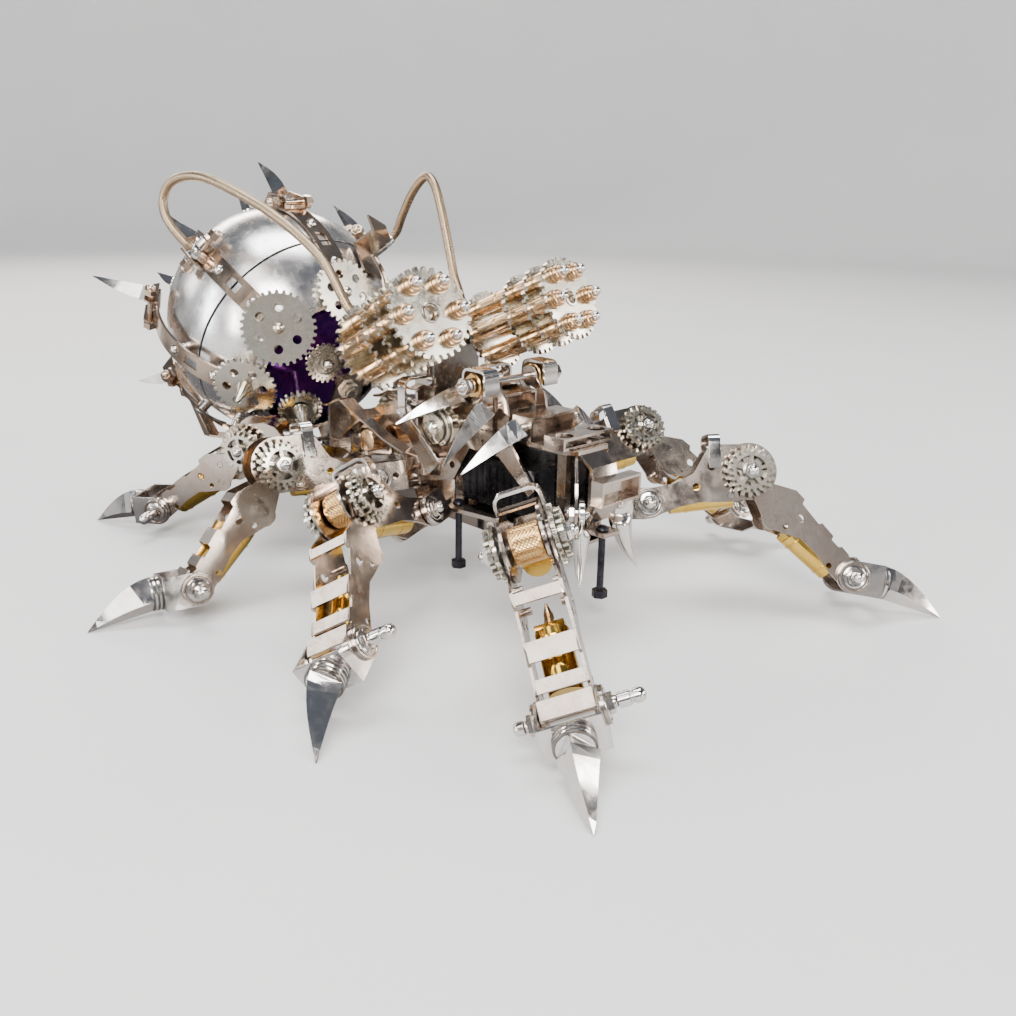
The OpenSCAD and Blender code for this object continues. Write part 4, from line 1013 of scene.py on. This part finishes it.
def cradle_trim():
    """Folded brackets under the guns and along the deck, with their rollers, spacers and screws."""
    loop = bent_strip([(-5.6, -14.5), (-5.6, 0), (5.6, 0), (5.6, -10)], 3.2, 0.8, 2.4)
    loop.transform(FRONTAL)
    loop = to_template(loop, "cradle_loop")
    rung = bent_strip([(-5.3, -1.2), (-1.5, 0.6), (2.2, -0.4), (5.3, 1.0)], 2.6, 0.6, 0.8)
    rung.transform(FRONTAL)
    rung = to_template(rung, "cradle_rung")
    side_bow = bent_strip([(-1.2, -9), (4.6, -4.4), (4.6, 4.4), (-1.2, 9)], 5.2, 0.7, 1.2)
    side_bow = to_template(side_bow, "side_bow")
    tab = prism([(-2.6, -7), (2.6, -7), (2.6, 6), (1.2, 7.6), (-1.2, 7.6), (-2.6, 6)], -0.4, 0.4)
    tab = carve(tab, lathe([(1.2, -1), (1.2, 1)], 24), "cradle_tab")
    washers = [(1.6, -4.5), (1.6, -3), (3.2, -3), (3.4, -2.7), (3.4, -2.0), (2.3, -1.9), (2.3, -1.2),
               (3.9, -1.1), (4.1, -0.7), (4.1, 0.1), (2.7, 0.2), (2.7, 0.9), (3.4, 1.0), (3.4, 1.8),
               (1.9, 2.0), (1.9, 2.4)]
    stack = to_template(lathe(washers + dome(1.9, 1.9, 2.5), 40), "washer_stack")
    roller = lathe([(2.9, -3.4), (3.5, -3.2), (3.6, -2.9), (3.6, 2.9), (3.5, 3.2), (2.9, 3.4)], 44)
    roller = to_template(roller, "plain_roller")
    kit = Kit("cradle_trim", "trunk", "plate_steel", 0.05)
    for side in SIDES:
        kit.add(loop, sided(15.8, -14.5, 63.2, side), BRIGHT)
        kit.add(rung, sided(15.8, -14.5, 60.2, side), PLATE)
        kit.add(rung, sided(15.8, -14.0, 55.2, side) @ turn(180, "Y"), DARK)
        kit.add(tab, sided(12.4, -13.4, 52.2, side) @ turn(90, "X"), PLATE)
        kit.screw(sided(13.2, -15.4, 60.6, side) @ turn(90, "X"), 0.9)
        kit.screw(sided(18.2, -15.2, 59.4, side) @ turn(90, "X"), 0.7, GEAR)
        kit.add(stack, sided(14.2, -8.5, 51.6, side) @ turn(90, "Y"), BRIGHT)
        kit.add(roller, sided(13.4, 9.6, 39.2, side) @ turn(90, "Y"), COPPER)
        kit.add(side_bow, sided(11.4, -13.6, 36.6, side), PLATE)
        kit.add(side_bow, sided(10.6, 15.4, 36.6, side), PLATE)
        for y in (-13.6, 15.4):
            kit.screw(sided(16.4, y, 36.8, side) @ turn(90, "Y"), 0.7)
    kit.done()


def flank_trim():
    """Side walls, folded straps and webs of the body, the claws' insets and the patches behind the ball,
    whose amber colour paints warm light on them.
    """
    kit = Kit("flank_trim", "trunk", "plate_steel", 0.05)
    web = to_template(prism([(-15.4, 52.4), (-28.6, 40.4), (-24.0, 36.4), (-20.5, 38.5), (-14.6, 46.0)],
                            -0.3, 0.3), "flank_web")
    rim = Vector((0, -13.4, -11.4))
    lean = math.degrees(math.atan2(-rim.y, rim.z))
    strip = to_template(slab(0.75, rim.length / 2, -0.3, 0.3), "flank_strip")
    inset = to_template(slab(1.7, 1.8, -0.2, 0.25), "claw_inset")
    patch = to_template(prism([(-4.0, 5.2), (3.2, 6.0), (4.4, -3.0), (2.0, -6.5)], -0.25, 0.25), "ball_patch")
    folded = to_template(bent_strip([(36.9, 34.2), (26.6, 36.2), (14.3, 45.3), (3.2, 40.9), (-13.2, 37.2),
                                     (-15.1, 30.4)], 4.4, 0.7, 1.4), "folded_strap")
    neck = bent_strip([(38.4, 45.6), (35.8, 45.7), (28.9, 48.9), (18.3, 44.0)], 5.0, 0.7, 1.2)
    neck = to_template(neck, "neck_strap")
    wall = prism([(-24, 36), (20, 36), (29, 39), (29, 44.5), (18, 47), (5, 52), (-22, 54)], -0.3, 0.3)
    wall = to_template(wall, "wall")
    bulkhead = prism([(-9, 0), (9, 0), (9, 9), (6, 13), (-6, 13), (-9, 9)], -0.4, 0.4)
    bulkhead = to_template(bulkhead, "bulkhead")
    kit.add(bulkhead, sided(0, -14.0, 57.5, "left") @ turn(90, "X"), DARK)
    for side in SIDES:
        kit.add(folded, sided(13.4, 0, 0, side) @ UPRIGHT, PLATE)
        kit.add(neck, sided(10.6, 0, 0, side) @ UPRIGHT, WARM)
        kit.add(wall, sided(8.2, 0, 0, side) @ UPRIGHT, WARM)
        for y, z in ((24, 41), (9, 44), (-6, 46), (-17, 48)):
            kit.screw(sided(8.5, y, z, side) @ turn(90, "Y"), 0.8)
        kit.add(web, sided(19.2, 0, 0, side) @ UPRIGHT, PLATE)
        kit.add(strip, sided(19.9, -22.0, 46.2, side) @ UPRIGHT @ turn(lean, "Z"), BRIGHT)
        # The patches behind the ball are coloured amber to paint warm light on them.
        for place, outward, template, material, spin in (
                ((-15.2, -29.6, 59.2), (-0.45, -0.85, 0.30), inset, WARM, 20),
                ((-29.5, 106.5, 62.5), (-0.70, 0.70, -0.1), patch, PAINTED_WARM_LIGHT, 0)):
            where = aimed(sided(*place, "left").translation, Vector(outward), spin)
            kit.add(template, where if side == "right" else MIRROR @ where, material)
    kit.done()


def yoke_trim():
    """Cheek plates and screws on the gun column and its crossbar, and rings on the gun bearings."""
    kit = Kit("yoke_trim", "trunk", "plate_steel", 0.06)
    bar_y, bar_z = -1.0, 70.3
    cheek = prism([(-2.9, -16), (2.9, -16), (2.9, 11), (1.6, 14), (-1.6, 14), (-2.9, 11)], 0, 0.5)
    cheek = to_template(cheek, "cheek")
    ring = crowned_ring("bearing_ring", 4.3, 4.7, 4.85, 0.5)
    for quarter in (0, 90, 180, 270):
        column = sided(0, -1.5, 54, "left") @ turn(quarter, "Z")
        face = column @ shift(3.0, 0, 0) @ turn(90, "Y") @ turn(90, "Z")
        kit.add(cheek, face, PLATE)
        for z in (-12, -4, 4, 10):
            kit.screw(face @ shift(0, z, 0.5), 0.6)
    for x in (-17, -11, 11, 17):
        for up in (-1, 1):
            kit.add(PARTS["socket_screw"], sided(x, bar_y, bar_z + 2.6 * up, "left") @ turn(90 - 90 * up, "X")
                    @ Matrix.Scale(0.75, 4), BRIGHT)
        kit.screw(sided(x, bar_y - 1.6, bar_z, "left") @ turn(90, "X"), 0.8)
    for side in SIDES:
        place, axis = joint_place(side + "_gun_spin")
        at = aimed(place, axis)
        for z in (-36.6, -38.6, -40.4):
            kit.add(ring, at @ shift(0, 0, z), GEAR)
    kit.done()


trunk_pieces()
hip_trim()
head_trim()
cradle_trim()
flank_trim()
yoke_trim()
ball_shells()
hoses()
for side_name in SIDES:
    gun_pieces(side_name)


# ---------- studio ----------

def studio():
    """Pale floor that curves up into a round backdrop."""
    bend, reach, height = 0.5, 1.7, 1.5
    profile = [(0.0, 0.0), (reach - bend, 0.0)]
    profile += [(reach - bend + bend * math.sin(a), bend - bend * math.cos(a))
                for a in (math.pi / 2 * i / 16 for i in range(1, 17))]
    profile.append((reach, height))
    bm = bmesh.new()
    sides = 96
    rings = [[bm.verts.new((r * math.cos(2 * math.pi * i / sides), r * math.sin(2 * math.pi * i / sides), z))
              for i in range(sides)] for r, z in profile[1:]]
    bm.faces.new(rings[0])
    skin(bm, rings, False)
    bmesh.ops.recalc_face_normals(bm, faces=bm.faces)
    mesh = bpy.data.meshes.new("studio_floor")
    bm.to_mesh(mesh)
    bm.free()
    mesh.materials.append(floor_paint())
    mesh.polygons.foreach_set("use_smooth", [True] * len(mesh.polygons))
    floor = bpy.data.objects.new("studio_floor", mesh)
    bpy.context.scene.collection.objects.link(floor)


def soft_light(name, place, size, power, colour=(1, 1, 1)):
    """Soft box that looks at the object's middle."""
    data = bpy.data.lights.new(name, "AREA")
    data.shape = "RECTANGLE"
    data.size, data.size_y = size
    data.energy = power
    data.color = colour
    light = bpy.data.objects.new(name, data)
    bpy.context.scene.collection.objects.link(light)
    light.location = place
    light.visible_camera = False
    target = Vector((0, 0, 0.05))
    light.rotation_euler = (target - Vector(place)).to_track_quat("-Z", "Y").to_euler()


def lights():
    """Large soft boxes high up and narrow strips at the sides, with a dim cool room between them."""
    soft_light("key", (-0.66, -0.62, 0.72), (0.55, 0.42), 13, (1.0, 0.985, 0.96))
    soft_light("front", (0.50, -0.98, 0.48), (0.48, 0.36), 6, (1.0, 0.97, 0.93))
    soft_light("shins", (-0.64, -0.06, 0.82), (0.36, 0.34), 1.6, (1.0, 0.98, 0.95))
    soft_light("rear_shins", (-0.46, 0.74, 0.40), (0.26, 0.26), 0.8, (1.0, 0.98, 0.95))
    soft_light("left", (1.02, -0.58, 0.34), (0.30, 0.30), 3.5, (1.0, 0.95, 0.88))
    soft_light("top", (0.05, 0.10, 1.10), (0.80, 0.45), 12)
    soft_light("back", (0.35, 0.95, 0.55), (0.90, 0.22), 8, (1.0, 0.92, 0.82))
    soft_light("side", (-1.00, 0.45, 0.30), (0.16, 0.70), 5, (0.90, 0.95, 1.0))
    soft_light("low_right", (-1.15, -0.12, 0.24), (0.12, 0.50), 4, (1.0, 0.95, 0.88))
    soft_light("low_front", (-0.08, -1.15, 0.16), (0.10, 0.30), 2, (1.0, 0.96, 0.90))
    world = bpy.data.worlds.new("studio")
    world.use_nodes = True
    world.node_tree.nodes["Background"].inputs["Color"].default_value = (0.55, 0.62, 0.75, 1)
    world.node_tree.nodes["Background"].inputs["Strength"].default_value = 0.20
    bpy.context.scene.world = world


def camera():
    """Low three-quarter view from the spider's front right."""
    azimuth, elevation, roll = math.radians(-44.79), math.radians(18.27), math.radians(1.06)
    back = Vector((math.sin(azimuth) * math.cos(elevation), -math.cos(azimuth) * math.cos(elevation),
                   math.sin(elevation)))
    right = Vector((math.cos(azimuth), math.sin(azimuth), 0))
    up = back.cross(right)
    x = math.cos(roll) * right + math.sin(roll) * up
    y = math.cos(roll) * up - math.sin(roll) * right
    data = bpy.data.cameras.new("camera")
    data.sensor_width = 36
    data.lens = 36 * 1050 / 1016
    data.clip_start, data.clip_end = 0.01, 20
    cam = bpy.data.objects.new("camera", data)
    bpy.context.scene.collection.objects.link(cam)
    cam.matrix_world = basis(x, y, back, (Vector((-210.5, -249.5, 123.6)) + CAD_SHIFT) * MM)
    bpy.context.scene.camera = cam


studio()
lights()
camera()
